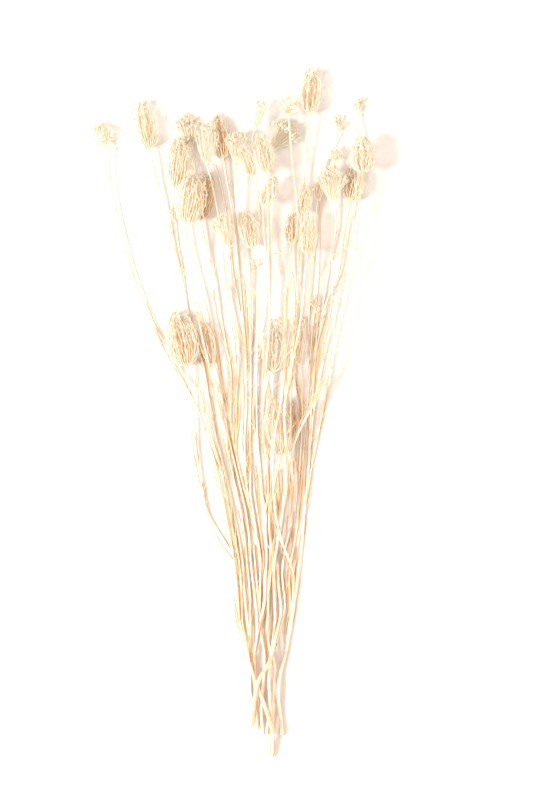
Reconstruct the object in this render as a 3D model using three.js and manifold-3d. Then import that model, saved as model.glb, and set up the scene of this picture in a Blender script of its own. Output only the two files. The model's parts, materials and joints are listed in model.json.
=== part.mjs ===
// A loose bunch of dried wild carrot, the lace flower, gone to seed and bleached, lying on a flat surface.
// Millimetres, +Z up, the surface at z = 0. The cut ends point to -Y and the flower heads to +Y.
import * as THREE from 'three';
import { mergeVertices } from 'three/addons/utils/BufferGeometryUtils.js';
import Module from 'manifold-3d';

const wasm = await Module();
wasm.setup();

// Stalks and heads are laid out on a sheet, in mm across from its left and mm down from its top.
const SHEET_MIDDLE = 256;
const SHEET_FOOT = 758;

// How dry stalks lie on each other
const LAY_GAP = 0.45; // clear space kept where one stalk or head lies on another
const HEAD_GAP = 0.3; // clear space between a stalk's tip and the head that it carries
const SAG = 0.0005; // how much an unheld stalk bends down, in mm per mm of run squared
const CROTCH = 42; // a branch may touch its own stalk this near to their joint
const STEP = 2; // distance between the places where clearances are tested
const HEAD_PRESS = 0.5; // a head that lies on the surface is flat there to this depth
const STALK_PRESS = 0.06; // and so is a stalk
const LAY_ROUNDS = 1500; // how often a shoot's heights are evened out before it has come to rest
const START_HEIGHT = 60; // shoots are let down from here
const END_DROP = 0.5; // and their ends sink this much a round until something holds them
const ROOT_LIP = 1; // a branch is inside its stalk this far past the stalk's side

// Stalks
const STALK_SIDES = 5;
const JOINT_SWELL = 1.3; // a stalk is this much thicker where it branches
const KNOB_SWELL = 1.45; // and this much thicker at a knob
const FLAT_DEPTH = Math.cos(Math.PI / STALK_SIDES); // share of the radius where its flat side lies

// Closed heads, the nests: place along the head and share of its half width, from the stalk to the top
const NEST_OUTSIDE = [[0, 0], [0.03, 0.26], [0.13, 0.72], [0.32, 0.98], [0.54, 1], [0.76, 0.86], [0.93, 0.6]];
const NEST_INSIDE = [[0.8, 0.34], [0.7, 0]];
const NEST_GROOVE = 0.74; // the gaps between rays reach in to this share of the half width
const NEST_TIP = 0.16; // the rays' tips stand this share of the length above the gaps, at most
const SHORT_TIP = 0.45; // the shortest tip's share of that
const RAY_SPACING = 6.2; // distance between the modelled rays round the widest place
const FEWEST_RAYS = 5;
const RAY_SWING = 0.25; // a ray bends sideways by up to this share of the way to the next

// Half-open heads: the rays spread like a goblet, and its top is covered by small umbels
const GOBLET_SIDE = [[0, 0], [0.05, 0.12], [0.36, 0.46], [0.68, 0.84], [0.9, 1]];
const GOBLET_TOP = [[0.93, 0.72], [0.88, 0.46], [0.84, 0.22], [0.82, 0]];
const GOBLET_GROOVE = 0.55; // the gaps between rays reach in to this share of the half width
const UMBEL_RISE = 0.07; // umbels stand this share of the length over the top
const UMBEL_DIP = 0.09; // and the places between them lie this share under it
const LOW_UMBEL = 0.6; // the lowest umbel's share of the rise

// Tufts: a burst of short rays with florets at their ends
const BURST_PLACE = 0.5; // share of the length where its middle is
const BURST_CORE = 0.42; // the rays stand out of a core of this share of the half width
const CORE_UNEVEN = 0.2; // the core is this much larger or smaller from place to place
const SHORT_RAY = 0.84; // the shortest ray's share of the half width
const LARGE_TUFT = 20; // a tuft wider than this has more rays

// Finish, bleached dry straw and its darker inside
const STRAW = { color: 0xf3e2c2, roughness: 0.85, metalness: 0 };
const HEAD_STRAW = { color: 0xeed7ae, roughness: 0.9, metalness: 0 };

// A small seeded random draw, so that the bunch is the same every time
function draws(seed) {
  let state = seed;
  return () => {
    state = (state + 0x6d2b79f5) | 0;
    let t = Math.imul(state ^ (state >>> 15), 1 | state);
    t = (t + Math.imul(t ^ (t >>> 7), 61 | t)) ^ t;
    return ((t ^ (t >>> 14)) >>> 0) / 4294967296;
  };
}

// Every shoot, in the order in which it is laid, lowest first. on: the stalk it belongs to. from: the shoot
// that it grows out of. thick: its radius at the root and at the tip. way: its route on the sheet.
// knob: the point of its route with a knobbly swelling. head: the flower head at its tip, with the place of
// its top and its width.
const SHOOTS = [
  { name: 'foot_8', on: 8, thick: [1.9, 1.1],
    way: [[255, 722], [251.5, 705], [249.5, 688], [250, 670], [254, 650], [258, 630], [262, 600],
      [263, 570], [261, 540], [257, 515], [253.5, 490], [252, 466]] },
  { name: 'foot_9', on: 9, thick: [1.9, 1],
    way: [[262, 728], [259, 715], [261, 695], [266, 675], [267, 655], [265, 638], [266, 620], [268, 600],
      [271, 575], [276, 550], [281, 525], [286, 495], [290, 470], [293, 446]],
    head: { name: 'nest_22', kind: 'nest', top: [291, 396], width: 13, flat: 0.7 } },
  { name: 'foot_2', on: 2, thick: [2, 1.9],
    way: [[257, 730], [256, 712], [255, 690], [253, 672], [250.5, 657]] },
  { name: 'foot_3', on: 3, thick: [2, 2],
    way: [[263, 735], [260.5, 715], [261, 700], [263.5, 678], [264.5, 655], [262, 640], [258.5, 625]] },
  { name: 'foot_4', on: 4, thick: [1.8, 1.7],
    way: [[266, 735], [268, 718], [272, 700], [274, 682], [272, 664], [268.5, 646], [267, 628]] },
  { name: 'foot_7', on: 7, thick: [2.1, 2],
    way: [[271.5, 758], [271.8, 750], [272, 738], [271, 718], [269.5, 698], [268, 680], [269.5, 658],
      [273, 640], [275, 620]], knob: 1 },
  { name: 'foot_6', on: 6, thick: [2.1, 2.1],
    way: [[282.4, 736.5], [280.5, 722], [278, 703], [277.5, 688], [280, 672], [287, 648], [292, 624]] },
  { name: 'foot_5', on: 5, thick: [2.1, 1.8],
    way: [[274.5, 734.5], [271, 727], [267, 714], [261.5, 698], [254.5, 682], [249.5, 664], [240, 636]] },
  { name: 'foot_1', on: 1, thick: [2.2, 2.1],
    way: [[251.5, 728], [252.5, 710], [254.5, 692], [258, 678], [268, 664], [277, 648], [284.5, 622.5]] },

  { name: 'rest_4', on: 4, from: 'foot_4', thick: [1.6, 1.2],
    way: [[267, 628], [268, 600], [268.5, 577], [269.5, 558], [270.5, 535], [270, 510], [269.5, 480],
      [271, 450], [272, 425], [272, 398], [272.5, 371.5]],
    head: { name: 'nest_16', kind: 'nest', top: [275, 320], width: 25, flat: 0.6 } },
  { name: 'pale_4', on: 4, from: 'rest_4', thick: [1.2, 1],
    way: [[269.5, 558], [275, 544], [279.3, 525], [279.6, 505], [277.5, 485], [276.5, 467]] },
  { name: 'fork_3', on: 3, from: 'foot_3', thick: [1.6, 1.5],
    way: [[258.5, 625], [258.5, 600], [260, 580], [260.5, 562], [256.5, 536], [248.2, 508]] },
  { name: 'broken_3', on: 3, from: 'fork_3', thick: [1.3, 1.2],
    way: [[258.5, 600], [256, 580], [254.4, 562], [253, 544.5]] },
  { name: 'snag_3', on: 3, from: 'fork_3', thick: [1.3, 1.3],
    way: [[256.5, 536], [253.8, 529], [251.5, 523]] },
  { name: 'left_3', on: 3, from: 'fork_3', thick: [1.4, 1.3],
    way: [[248.2, 508], [244, 491], [239.5, 473], [235.5, 456]] },
  { name: 'shade_3', on: 3, from: 'left_3', thick: [1.3, 1.1],
    way: [[235.5, 456], [230.5, 430], [228.5, 413], [231.5, 390], [230, 366], [225.5, 346], [221, 320],
      [217, 290], [212.5, 270], [206.5, 250], [203, 235], [199.3, 219]],
    head: { name: 'nest_04', kind: 'nest', top: [208.5, 172], width: 21, flat: 0.7 } },
  { name: 'under_3', on: 3, from: 'shade_3', thick: [1, 0.9],
    way: [[206.5, 250], [204, 224], [201, 205], [196.5, 180], [190.5, 150.5]],
    head: { name: 'open_head_1', kind: 'open', top: [184.5, 114], width: 28, flat: 0.4, rays: 12 } },
  { name: 'middle_3', on: 3, from: 'fork_3', thick: [1.5, 1.2],
    way: [[248.2, 508], [245.3, 482], [244.5, 458], [244, 437], [246, 405], [245.5, 380], [245.5, 353],
      [244, 332], [241, 303], [239.3, 282], [237, 258], [235, 240], [232, 212], [226, 180], [222.7, 157.5]],
    head: { name: 'nest_05', kind: 'nest', top: [216, 113.5], width: 20, flat: 0.85 } },
  { name: 'twig_3', on: 3, from: 'middle_3', thick: [1.1, 0.8],
    way: [[244, 332], [238, 303], [233, 275], [230, 248], [225.5, 212], [219.5, 180], [213.5, 161.5]] },
  { name: 'back_3', on: 3, from: 'shade_3', thick: [1.2, 1.1],
    way: [[228.5, 413], [221.5, 390], [217, 360], [211.5, 328], [204.5, 301], [198.5, 281], [191.5, 260],
      [186, 240], [181.5, 220], [177.5, 204], [175.2, 187]],
    head: { name: 'nest_02', kind: 'nest', top: [181, 136], width: 27, flat: 0.8 } },
  { name: 'rest_2', on: 2, from: 'foot_2', thick: [1.6, 1.1],
    way: [[250.5, 657], [248.7, 640], [246.7, 622], [244.8, 603], [243.2, 586], [243, 568], [240, 548],
      [236.5, 528], [232.3, 508], [229, 490], [224, 470], [214.5, 435], [208, 398], [203.5, 368],
      [196.5, 345], [188.5, 318], [184, 290], [179, 266], [173, 246], [169.5, 231], [163, 203],
      [156.4, 181], [152.2, 162], [148.3, 147.5]],
    head: { name: 'nest_01', kind: 'nest', top: [139.5, 98.5], width: 26, flat: 0.85 } },
  { name: 'bud_2', on: 2, from: 'rest_2', thick: [0.9, 0.7],
    way: [[184, 290], [181.5, 265], [177.5, 247], [173.6, 220.5]],
    head: { name: 'bud_1', kind: 'nest', top: [172.3, 203], width: 6.5, flat: 1 } },
  { name: 'right_2', on: 2, from: 'foot_2', thick: [1.5, 1],
    way: [[250.5, 657], [256, 643], [256.8, 625], [254.8, 602], [252, 580], [250, 560], [248.5, 535],
      [245, 510], [239, 485], [232, 455], [226, 430], [219.5, 403], [214.5, 382], [210.7, 363.5]],
    head: { name: 'nest_15', kind: 'nest', top: [203.5, 319], width: 14, flat: 0.85 } },
  { name: 'right_3', on: 3, from: 'left_3', thick: [1.2, 1],
    way: [[235.5, 456], [236, 425], [235.7, 400], [238, 368], [238.5, 342], [233, 318], [227.5, 298],
      [224, 275], [222, 250], [219.5, 222], [214, 196], [209.5, 175], [206.5, 165.5]],
    head: { name: 'open_head_2', kind: 'open', top: [206.5, 122], width: 23, flat: 0.6, rays: 12 } },
  { name: 'upper_2', on: 2, from: 'rest_2', thick: [1.3, 1.1],
    way: [[246.7, 622], [250.3, 605], [248.8, 586], [246.5, 563], [244.5, 543], [241.5, 520], [237.5, 500],
      [231, 470], [225, 440], [219.5, 412], [213, 380], [207.5, 360], [202.5, 340], [197.5, 315],
      [192.5, 292], [190.5, 262], [188.5, 243], [186.5, 224.5]],
    head: { name: 'nest_03', kind: 'nest', top: [194, 173], width: 29, flat: 0.8 } },
  { name: 'loop_2', on: 2, from: 'rest_2', thick: [1.2, 1.3],
    way: [[243, 568], [233, 556], [221, 537], [208.5, 517], [202.5, 500], [200.5, 482], [196.5, 460],
      [193.5, 437], [192, 418], [189.8, 396], [187.5, 380], [185.6, 365.5]],
    head: { name: 'nest_14', kind: 'nest', top: [176, 311], width: 32, flat: 0.8 } },
  { name: 'rest_5', on: 5, from: 'foot_5', thick: [1.3, 0.9],
    way: [[240, 636], [238.5, 618], [237.7, 598], [236, 578], [232.5, 553], [228, 530], [222.5, 500],
      [219, 482], [213.5, 458], [204.5, 432], [198, 409], [189.5, 393], [178.5, 377], [167, 356],
      [153, 329], [141.5, 300], [129.5, 266], [119, 226], [111.5, 192], [108, 170], [109, 149.5]],
    head: { name: 'tuft_01', kind: 'tuft', top: [95.5, 120], width: 26, flat: 0.7 } },
  { name: 'spur_5', on: 5, from: 'foot_5', thick: [1.1, 0.7], way: [[240, 636], [236, 634]] },
  { name: 'side_5', on: 5, from: 'foot_5', thick: [1.2, 0.9],
    way: [[240, 636], [241.3, 612], [240.5, 580], [238, 557], [231.5, 527], [227.5, 503], [221.5, 475],
      [215, 450], [208, 428], [201.5, 407], [199.3, 392.5]],
    head: { name: 'tuft_02', kind: 'tuft', top: [194.5, 376], width: 12, flat: 0.8 } },
  { name: 'pale_3', on: 3, from: 'fork_3', thick: [1.4, 1.2],
    way: [[248.2, 508], [249.7, 485], [250, 460], [249.3, 440], [250.5, 412], [250.3, 385], [250.5, 360],
      [250.7, 338], [249, 318], [247, 294], [243.8, 267], [241, 248], [238, 230], [236, 210], [234.7, 185],
      [235, 164]],
    head: { name: 'open_head_3', kind: 'open', top: [238, 131], width: 27, flat: 0.5, rays: 13 } },
  { name: 'bud_3', on: 3, from: 'pale_3', thick: [0.9, 0.8],
    way: [[250.7, 338], [252.3, 315], [251.5, 292], [251.3, 273.5]],
    head: { name: 'tuft_03', kind: 'tuft', top: [254.5, 257], width: 10, flat: 0.9 } },
  { name: 'front_3', on: 3, from: 'right_3', thick: [1.1, 1.1],
    way: [[227.5, 298], [226.7, 275], [226, 260], [227.7, 248.5]],
    head: { name: 'open_head_4', kind: 'open', top: [219, 215], width: 26, flat: 0.55, rays: 13 } },
  { name: 'main_3', on: 3, from: 'foot_3', thick: [1.9, 1.7],
    way: [[258.5, 625], [262.5, 611], [264.3, 597], [264.7, 578], [266.2, 558], [265.7, 535], [265.3, 511]] },
  { name: 'tall_3', on: 3, from: 'main_3', thick: [1.4, 0.9],
    way: [[265.3, 511], [267.7, 493], [267, 470], [264, 445], [262, 420], [263, 396], [265, 372],
      [267.5, 345], [269, 315], [268.6, 280], [266, 252], [262.7, 228], [259.5, 205], [255.7, 182],
      [252.6, 163], [250.5, 148], [251.2, 139], [253.2, 133]],
    head: { name: 'open_head_5', kind: 'open', top: [262.5, 99], width: 16, flat: 0.8, rays: 9 } },
  { name: 'ribbed_3', on: 3, from: 'tall_3', thick: [1, 0.9],
    way: [[262.7, 228], [258.5, 213], [254.7, 199], [250.8, 176.5]],
    head: { name: 'nest_06', kind: 'nest', top: [242, 147.5], width: 15, flat: 0.85 } },
  { name: 'low_3', on: 3, from: 'tall_3', thick: [1, 0.9],
    way: [[266, 252], [263.3, 230], [262, 216], [262.5, 205.7]],
    head: { name: 'nest_09', kind: 'nest', top: [274.5, 178], width: 16, flat: 0.8 } },
  { name: 'hid_3', on: 3, from: 'tall_3', thick: [1, 0.9],
    way: [[268.6, 280], [270.3, 255], [270.7, 230], [271.3, 205], [272.3, 185], [271.8, 165], [270, 150.5]],
    head: { name: 'open_head_6', kind: 'open', top: [292, 123], width: 34, flat: 0.45, rays: 16 } },
  { name: 'bright_3', on: 3, from: 'tall_3', thick: [1.5, 1.3],
    way: [[268.6, 280], [268, 258], [267.7, 230], [267.8, 205], [267.3, 188], [266.2, 174.5]],
    head: { name: 'nest_07', kind: 'nest', top: [259.5, 134.5], width: 20, flat: 0.85 } },
  { name: 'inner_3', on: 3, from: 'main_3', thick: [1.4, 1.1],
    way: [[265.3, 511], [262.3, 495], [260, 472], [257.7, 448], [256.2, 425], [256, 395], [256, 362],
      [257.5, 332], [258.7, 305], [259, 284], [257.7, 267], [255, 256], [251.8, 247.5]],
    head: { name: 'nest_13', kind: 'nest', top: [244.5, 211], width: 20, flat: 0.8 } },
  { name: 'left_6', on: 6, from: 'foot_6', thick: [1.4, 1.1],
    way: [[292, 624], [290.5, 603], [288.8, 583], [289.7, 566], [294, 545], [297.5, 522], [298.5, 498],
      [299.3, 470], [301, 440], [302, 412], [301, 388], [297.8, 364.5]],
    head: { name: 'nest_17', kind: 'nest', top: [303, 314], width: 11, flat: 0.9 } },
  { name: 'thin_6', on: 6, from: 'left_6', thick: [1, 0.8],
    way: [[298.5, 498], [302, 470], [304, 442], [306.5, 412], [309, 380], [310, 352], [312.5, 325],
      [316.5, 297], [318.5, 272], [319, 245], [319, 215], [320.5, 190], [324, 168], [329, 153],
      [333.5, 143], [337, 134.5]],
    head: { name: 'tuft_07', kind: 'tuft', top: [338.5, 113], width: 17, flat: 0.7 } },
  { name: 'slim_6', on: 6, from: 'thin_6', thick: [0.9, 0.8],
    way: [[310, 352], [308, 327], [309.7, 300], [311.2, 272], [312, 250], [313.5, 228], [315.5, 212],
      [317.2, 200.5]],
    head: { name: 'nest_11', kind: 'nest', top: [321, 170], width: 9, flat: 0.9 } },
  { name: 'thin_1', on: 1, from: 'foot_1', thick: [1.3, 1.1],
    way: [[284.5, 622.5], [285, 604], [282.5, 588], [281.3, 573], [283.5, 553], [288, 535], [291.3, 515],
      [292, 490], [291, 462], [290, 430], [290, 395], [291, 355], [293.7, 325], [295.3, 298], [292.8, 281],
      [290.8, 262], [290.7, 243.5]],
    head: { name: 'nest_10', kind: 'nest', top: [291.7, 213], width: 14, flat: 0.85 } },
  { name: 'high_1', on: 1, from: 'thin_1', thick: [1.1, 1],
    way: [[291, 355], [296, 325], [298, 297], [297.3, 272], [298.5, 247], [300.5, 222], [303, 197],
      [303.5, 174], [304.7, 151], [306.2, 134], [309.2, 113]],
    head: { name: 'nest_08', kind: 'nest', top: [311, 67.5], width: 21, flat: 0.85 } },
  { name: 'short_1', on: 1, from: 'high_1', thick: [1, 0.9],
    way: [[297.3, 272], [300.3, 255], [301.2, 235], [301.8, 214.8]],
    head: { name: 'nest_12', kind: 'nest', top: [306.5, 183], width: 16, flat: 0.85 } },
  { name: 'main_1', on: 1, from: 'foot_1', thick: [2, 1.4],
    way: [[284.5, 622.5], [280.5, 606], [278, 590], [277.2, 574], [273.5, 558], [270, 542], [268.5, 522],
      [270, 505], [273.5, 490], [276, 475], [278.7, 463], [281, 454.5]],
    head: { name: 'nest_18', kind: 'nest', top: [273.5, 397], width: 25, flat: 0.65 } },
  { name: 'main_6', on: 6, from: 'foot_6', thick: [2.1, 1.6],
    way: [[292, 624], [294.5, 600], [296, 582], [299.5, 562], [301.5, 543], [303.3, 520], [305.7, 495],
      [308.3, 470], [309.6, 448], [310.6, 425], [311, 406]] },
  { name: 'snag_6', on: 6, from: 'main_6', thick: [1.2, 0.8], way: [[311, 406], [306, 402], [300.5, 396.5]] },
  { name: 'curve_6', on: 6, from: 'main_6', thick: [1.3, 1],
    way: [[311, 406], [313.5, 386], [314, 363], [315.3, 343], [318, 325], [322.5, 308], [329, 294],
      [336, 281], [340.5, 266], [342.7, 245], [345, 225], [350, 200.5]],
    head: { name: 'nest_20', kind: 'nest', top: [354, 166], width: 24, flat: 0.8 } },
  { name: 'white_6', on: 6, from: 'curve_6', thick: [1, 0.9],
    way: [[322.5, 308], [325.3, 285], [328, 262], [333, 242], [335.7, 225], [334, 203], [333, 183],
      [333.5, 165.5]],
    head: { name: 'tuft_08', kind: 'tuft', top: [336, 146], width: 17, flat: 0.7 } },
  { name: 'tan_6', on: 6, from: 'main_6', thick: [1.1, 0.9],
    way: [[305.7, 495], [309.5, 475], [314, 453], [318.5, 430], [323, 405], [327, 383], [331, 347],
      [335, 316], [341, 283], [346.5, 260], [351, 236], [354, 210], [356, 185], [358.5, 160], [358.5, 138],
      [357.5, 115.5]],
    head: { name: 'tuft_09', kind: 'tuft', top: [359, 95], width: 17, flat: 0.7 } },
  { name: 'fan_6', on: 6, from: 'main_6', thick: [1.1, 0.9],
    way: [[310.6, 425], [315, 400], [318.5, 372], [322, 348], [327.5, 325], [331.5, 300], [332.3, 275],
      [331, 250], [331.3, 225], [332, 204.5]],
    head: { name: 'open_head_7', kind: 'open', top: [331, 168], width: 33, flat: 0.35, rays: 16 } },
  { name: 'stub_6', on: 6, from: 'curve_6', thick: [0.9, 0.8],
    way: [[318, 325], [317.5, 317], [316, 311.5]],
    head: { name: 'tuft_06', kind: 'tuft', top: [311.5, 294], width: 14, flat: 0.8 } },
  { name: 'rest_7', on: 7, from: 'foot_7', thick: [1.8, 1.4],
    way: [[275, 620], [274, 600], [273, 580], [273.7, 562], [278, 537], [282.5, 514], [284.5, 492],
      [286.5, 465], [285, 440], [283, 415], [285, 397], [290, 370], [295, 348], [299, 327], [302, 308],
      [304, 280], [305.5, 262], [307, 254]],
    head: { name: 'nest_19', kind: 'nest', top: [309, 214], width: 17, flat: 0.85 } },
  { name: 'cross_7', on: 7, from: 'rest_7', thick: [1.2, 1.1],
    way: [[284.5, 492], [288.5, 475], [291, 458], [294, 441], [300.5, 427], [308.5, 412], [316, 400],
      [322.5, 388], [328.5, 372], [334, 351], [338.5, 330], [343.5, 306], [349, 281], [354, 255],
      [356.7, 228], [358.7, 200], [362, 173]],
    head: { name: 'nest_21', kind: 'nest', top: [361.5, 137.5], width: 25, flat: 0.85 } },
  { name: 'over_6', on: 6, from: 'main_6', thick: [1.3, 1],
    way: [[296, 582], [291.5, 567], [285, 552], [279.5, 536], [275.5, 518], [273, 500], [272, 478],
      [272.3, 455], [274.5, 430], [279, 410], [282.5, 388], [284.3, 358], [284.3, 330], [284.8, 303],
      [289.5, 285], [292.2, 267], [292.6, 250], [296, 233], [297.7, 217], [295.5, 198], [293, 178],
      [290.7, 152], [288.3, 122.5]],
    head: { name: 'tuft_05', kind: 'tuft', top: [288, 90], width: 23, flat: 0.6 } },
  { name: 'side_6', on: 6, from: 'over_6', thick: [0.9, 0.8],
    way: [[284.8, 303], [286, 285], [285.7, 268], [283.7, 257.5]],
    head: { name: 'tuft_04', kind: 'tuft', top: [270.5, 250.5], width: 9, flat: 0.9 } },
];

// Half widths along each kind of head, used to keep room for it while the bunch is laid
const HEAD_ROOM = {
  nest: (t) => Math.sin(Math.PI * Math.min(1, 0.06 + t * 0.85)) ** 0.6,
  open: (t) => 0.12 + 0.88 * Math.min(1, t * 1.15) ** 0.8,
  tuft: (t) => 0.15 + 0.85 * Math.min(1, t * 1.6) ** 0.7,
};

const onSheet = ([across, down]) => new THREE.Vector3(across - SHEET_MIDDLE, SHEET_FOOT - down, 0);
const flatDistance = (a, b) => Math.hypot(a.x - b.x, a.y - b.y);

// Places the points of every shoot's centre line, and how thick it is there
const shoots = new Map();
for (const spec of SHOOTS) {
  const points = spec.way.map(onSheet);
  const runs = [0];
  for (let i = 1; i < points.length; i++) runs.push(runs[i - 1] + flatDistance(points[i], points[i - 1]));
  const length = runs.at(-1);
  const radii = runs.map((run) => THREE.MathUtils.lerp(spec.thick[0], spec.thick[1], run / length));
  if (spec.knob) radii[spec.knob] *= KNOB_SWELL;
  shoots.set(spec.name, { ...spec, points, radii, runs });
}
for (const shoot of shoots.values()) {
  if (!shoot.from) continue;
  const parent = shoots.get(shoot.from);
  shoot.joint = parent.points.findIndex((p) => flatDistance(p, shoot.points[0]) < 0.01);
  if (shoot.joint < parent.points.length - 1) parent.radii[shoot.joint] *= JOINT_SWELL;
}

// Tested places along one shoot: which two of its points they lie between, and the room they need
function placesAlong(shoot) {
  const places = [];
  const last = shoot.points.length - 1;
  for (let i = 0; i < last; i++) {
    const [a, b] = [shoot.points[i], shoot.points[i + 1]];
    const count = Math.ceil(flatDistance(a, b) / STEP);
    for (let k = 0; k < count + (i === last - 1); k++) {
      const t = k / count;
      const r = THREE.MathUtils.lerp(shoot.radii[i], shoot.radii[i + 1], t);
      const [x, y] = [a.x + (b.x - a.x) * t, a.y + (b.y - a.y) * t];
      places.push({ i, t, x, y, wide: r, tall: r, rest: r * FLAT_DEPTH - STALK_PRESS });
    }
  }
  if (shoot.head) {
    const { top, width, flat, kind } = shoot.head;
    const [base, end] = [shoot.points[last], onSheet(top)];
    const count = Math.ceil(flatDistance(base, end) / STEP);
    for (let k = 0; k <= count; k++) {
      const t = k / count;
      const wide = (width / 2) * HEAD_ROOM[kind](t);
      const tall = wide * flat;
      const [x, y] = [base.x + (end.x - base.x) * t, base.y + (end.y - base.y) * t];
      places.push({ i: last, t: 0, x, y, wide, tall, rest: tall - HEAD_PRESS });
    }
  }
  return places;
}

// Lowest height of a place's centre that clears the surface and all that is laid already
function heightNeeded(place, shoot, laid) {
  let height = place.rest;
  const fromRoot = flatDistance(place, shoot.points[0]);
  if (shoot.from && fromRoot < shoots.get(shoot.from).radii[shoot.joint] + ROOT_LIP) return 0;
  const nearRoot = shoot.from && fromRoot < CROTCH;
  for (const other of laid) {
    const reach = place.wide + other.wide + LAY_GAP;
    const dx = place.x - other.x;
    const dy = place.y - other.y;
    const away = dx * dx + dy * dy;
    if (away >= reach * reach) continue;
    if (nearRoot && other.on === shoot.on && flatDistance(other, shoot.points[0]) < CROTCH) continue;
    const rise = (place.tall + other.tall + LAY_GAP) * Math.sqrt(1 - away / (reach * reach));
    height = Math.max(height, other.z + rise);
  }
  return height;
}

// Lets one shoot down on what is laid already: a dry stalk spans from one support to the next
const laid = [];
for (const shoot of shoots.values()) {
  const { points, runs } = shoot;
  const last = points.length - 1;
  const places = placesAlong(shoot);
  for (const place of places) place.need = heightNeeded(place, shoot, laid);
  const held = shoot.from ? 1 : 0;
  const heights = points.map(() => START_HEIGHT);
  if (held) heights[0] = shoots.get(shoot.from).points[shoot.joint].z;
  for (let round = 0; round < LAY_ROUNDS; round++) {
    for (let i = held; i <= last; i++) {
      if (i === 0 || i === last) {
        heights[i] -= END_DROP;
        continue;
      }
      const [before, after] = [runs[i] - runs[i - 1], runs[i + 1] - runs[i]];
      const level = (heights[i - 1] * after + heights[i + 1] * before) / (before + after);
      heights[i] = level - (SAG * before * after) / 2;
    }
    for (const { i, t, need } of places) {
      const next = Math.min(i + 1, last);
      const short = need - (heights[i] * (1 - t) + heights[next] * t);
      if (short <= 0) continue;
      const share = (1 - t) ** 2 + t ** 2;
      if (i >= held && t < 1) heights[i] += (short * (1 - t)) / share;
      if (next >= held && t > 0) heights[next] += (short * t) / share;
    }
  }
  points.forEach((p, i) => { p.z = heights[i]; });
  for (const { i, t, x, y, wide, tall } of places) {
    const z = heights[i] * (1 - t) + heights[Math.min(i + 1, last)] * t;
    laid.push({ x, y, z, wide, tall, on: shoot.on });
  }
}

// A three.js geometry as a closed solid that can be joined
function solid(geometry) {
  const bare = geometry.clone();
  bare.deleteAttribute('normal');
  bare.deleteAttribute('uv');
  const merged = mergeVertices(bare, 1e-4);
  return new wasm.Manifold(new wasm.Mesh({
    numProp: 3,
    vertProperties: new Float32Array(merged.getAttribute('position').array),
    triVerts: new Uint32Array(merged.getIndex().array),
  }));
}

function asGeometry(manifold) {
  const { vertProperties, triVerts } = manifold.getMesh();
  const geometry = new THREE.BufferGeometry();
  geometry.setAttribute('position', new THREE.BufferAttribute(vertProperties, 3));
  geometry.setIndex(new THREE.BufferAttribute(triVerts, 1));
  geometry.computeVertexNormals();
  return geometry;
}

// What lies on the surface is flat there
const GROUND_SIZE = 1000;
const ground = new THREE.BoxGeometry(GROUND_SIZE, GROUND_SIZE * 2, GROUND_SIZE);
const GROUND = solid(ground.translate(0, 0, -GROUND_SIZE / 2));
const flattened = (whole) => asGeometry(whole.subtract(GROUND));

// Moves every vertex of a geometry by a rule that takes and returns a Vector3
function shaped(geometry, rule) {
  const place = geometry.getAttribute('position');
  const point = new THREE.Vector3();
  for (let i = 0; i < place.count; i++) {
    const moved = rule(point.fromBufferAttribute(place, i), i);
    place.setXYZ(i, moved.x, moved.y, moved.z);
  }
  return geometry;
}

// Directions at a place on a line: sideways, along it and upwards
function frameAlong(direction) {
  const along = direction.clone().normalize();
  const side = along.clone().cross(new THREE.Vector3(0, 0, 1));
  if (side.lengthSq() < 1e-6) side.set(1, 0, 0);
  side.normalize();
  return { side, along, up: side.clone().cross(along) };
}

// A round rod along a line of points, with a flat side down
function rod(points, radii, sides) {
  const last = points.length - 1;
  const frames = points.map((p, i) => {
    const ahead = points[Math.min(i + 1, last)];
    const behind = points[Math.max(i - 1, 0)];
    return frameAlong(ahead.clone().sub(behind));
  });
  return shaped(new THREE.CylinderGeometry(1, 1, 1, sides, last), (p) => {
    const i = Math.round((p.y + 0.5) * last);
    const { side, up } = frames[i];
    return points[i].clone().addScaledVector(side, p.x * radii[i]).addScaledVector(up, p.z * radii[i]);
  });
}

// Rays of a closed head are raised from its surface: every second meridian is a ray, the others are gaps
function nest({ length, width, flat }, draw) {
  const rays = Math.max(FEWEST_RAYS, Math.round((Math.PI * width) / RAY_SPACING));
  const rings = [...NEST_OUTSIDE, ...NEST_INSIDE];
  const rim = NEST_OUTSIDE.length - 1;
  const profile = rings.map(([t, r]) => new THREE.Vector2(r * (width / 2), t * length));
  const tips = Array.from({ length: rays }, () => THREE.MathUtils.lerp(SHORT_TIP, 1, draw()));
  const bends = Array.from({ length: rays }, () => (draw() * 2 - 1) * RAY_SWING);
  return shaped(new THREE.LatheGeometry(profile, rays * 2), (p, index) => {
    const ring = index % rings.length;
    const meridian = Math.floor(index / rings.length) % (rays * 2);
    const ray = Math.floor(meridian / 2);
    const isGap = meridian % 2 === 1;
    const reach = isGap && ring > 1 && ring <= rim ? NEST_GROOVE : 1;
    const tip = !isGap && ring === rim ? tips[ray] * NEST_TIP * length : 0;
    const swing = isGap ? 0 : bends[ray] * Math.sin(Math.PI * rings[ring][0]) * (Math.PI / rays);
    const turned = p.clone().applyAxisAngle(new THREE.Vector3(0, 1, 0), swing);
    return turned.set(turned.x * reach, Math.min(turned.y + tip, length), turned.z * reach * flat);
  });
}

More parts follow.
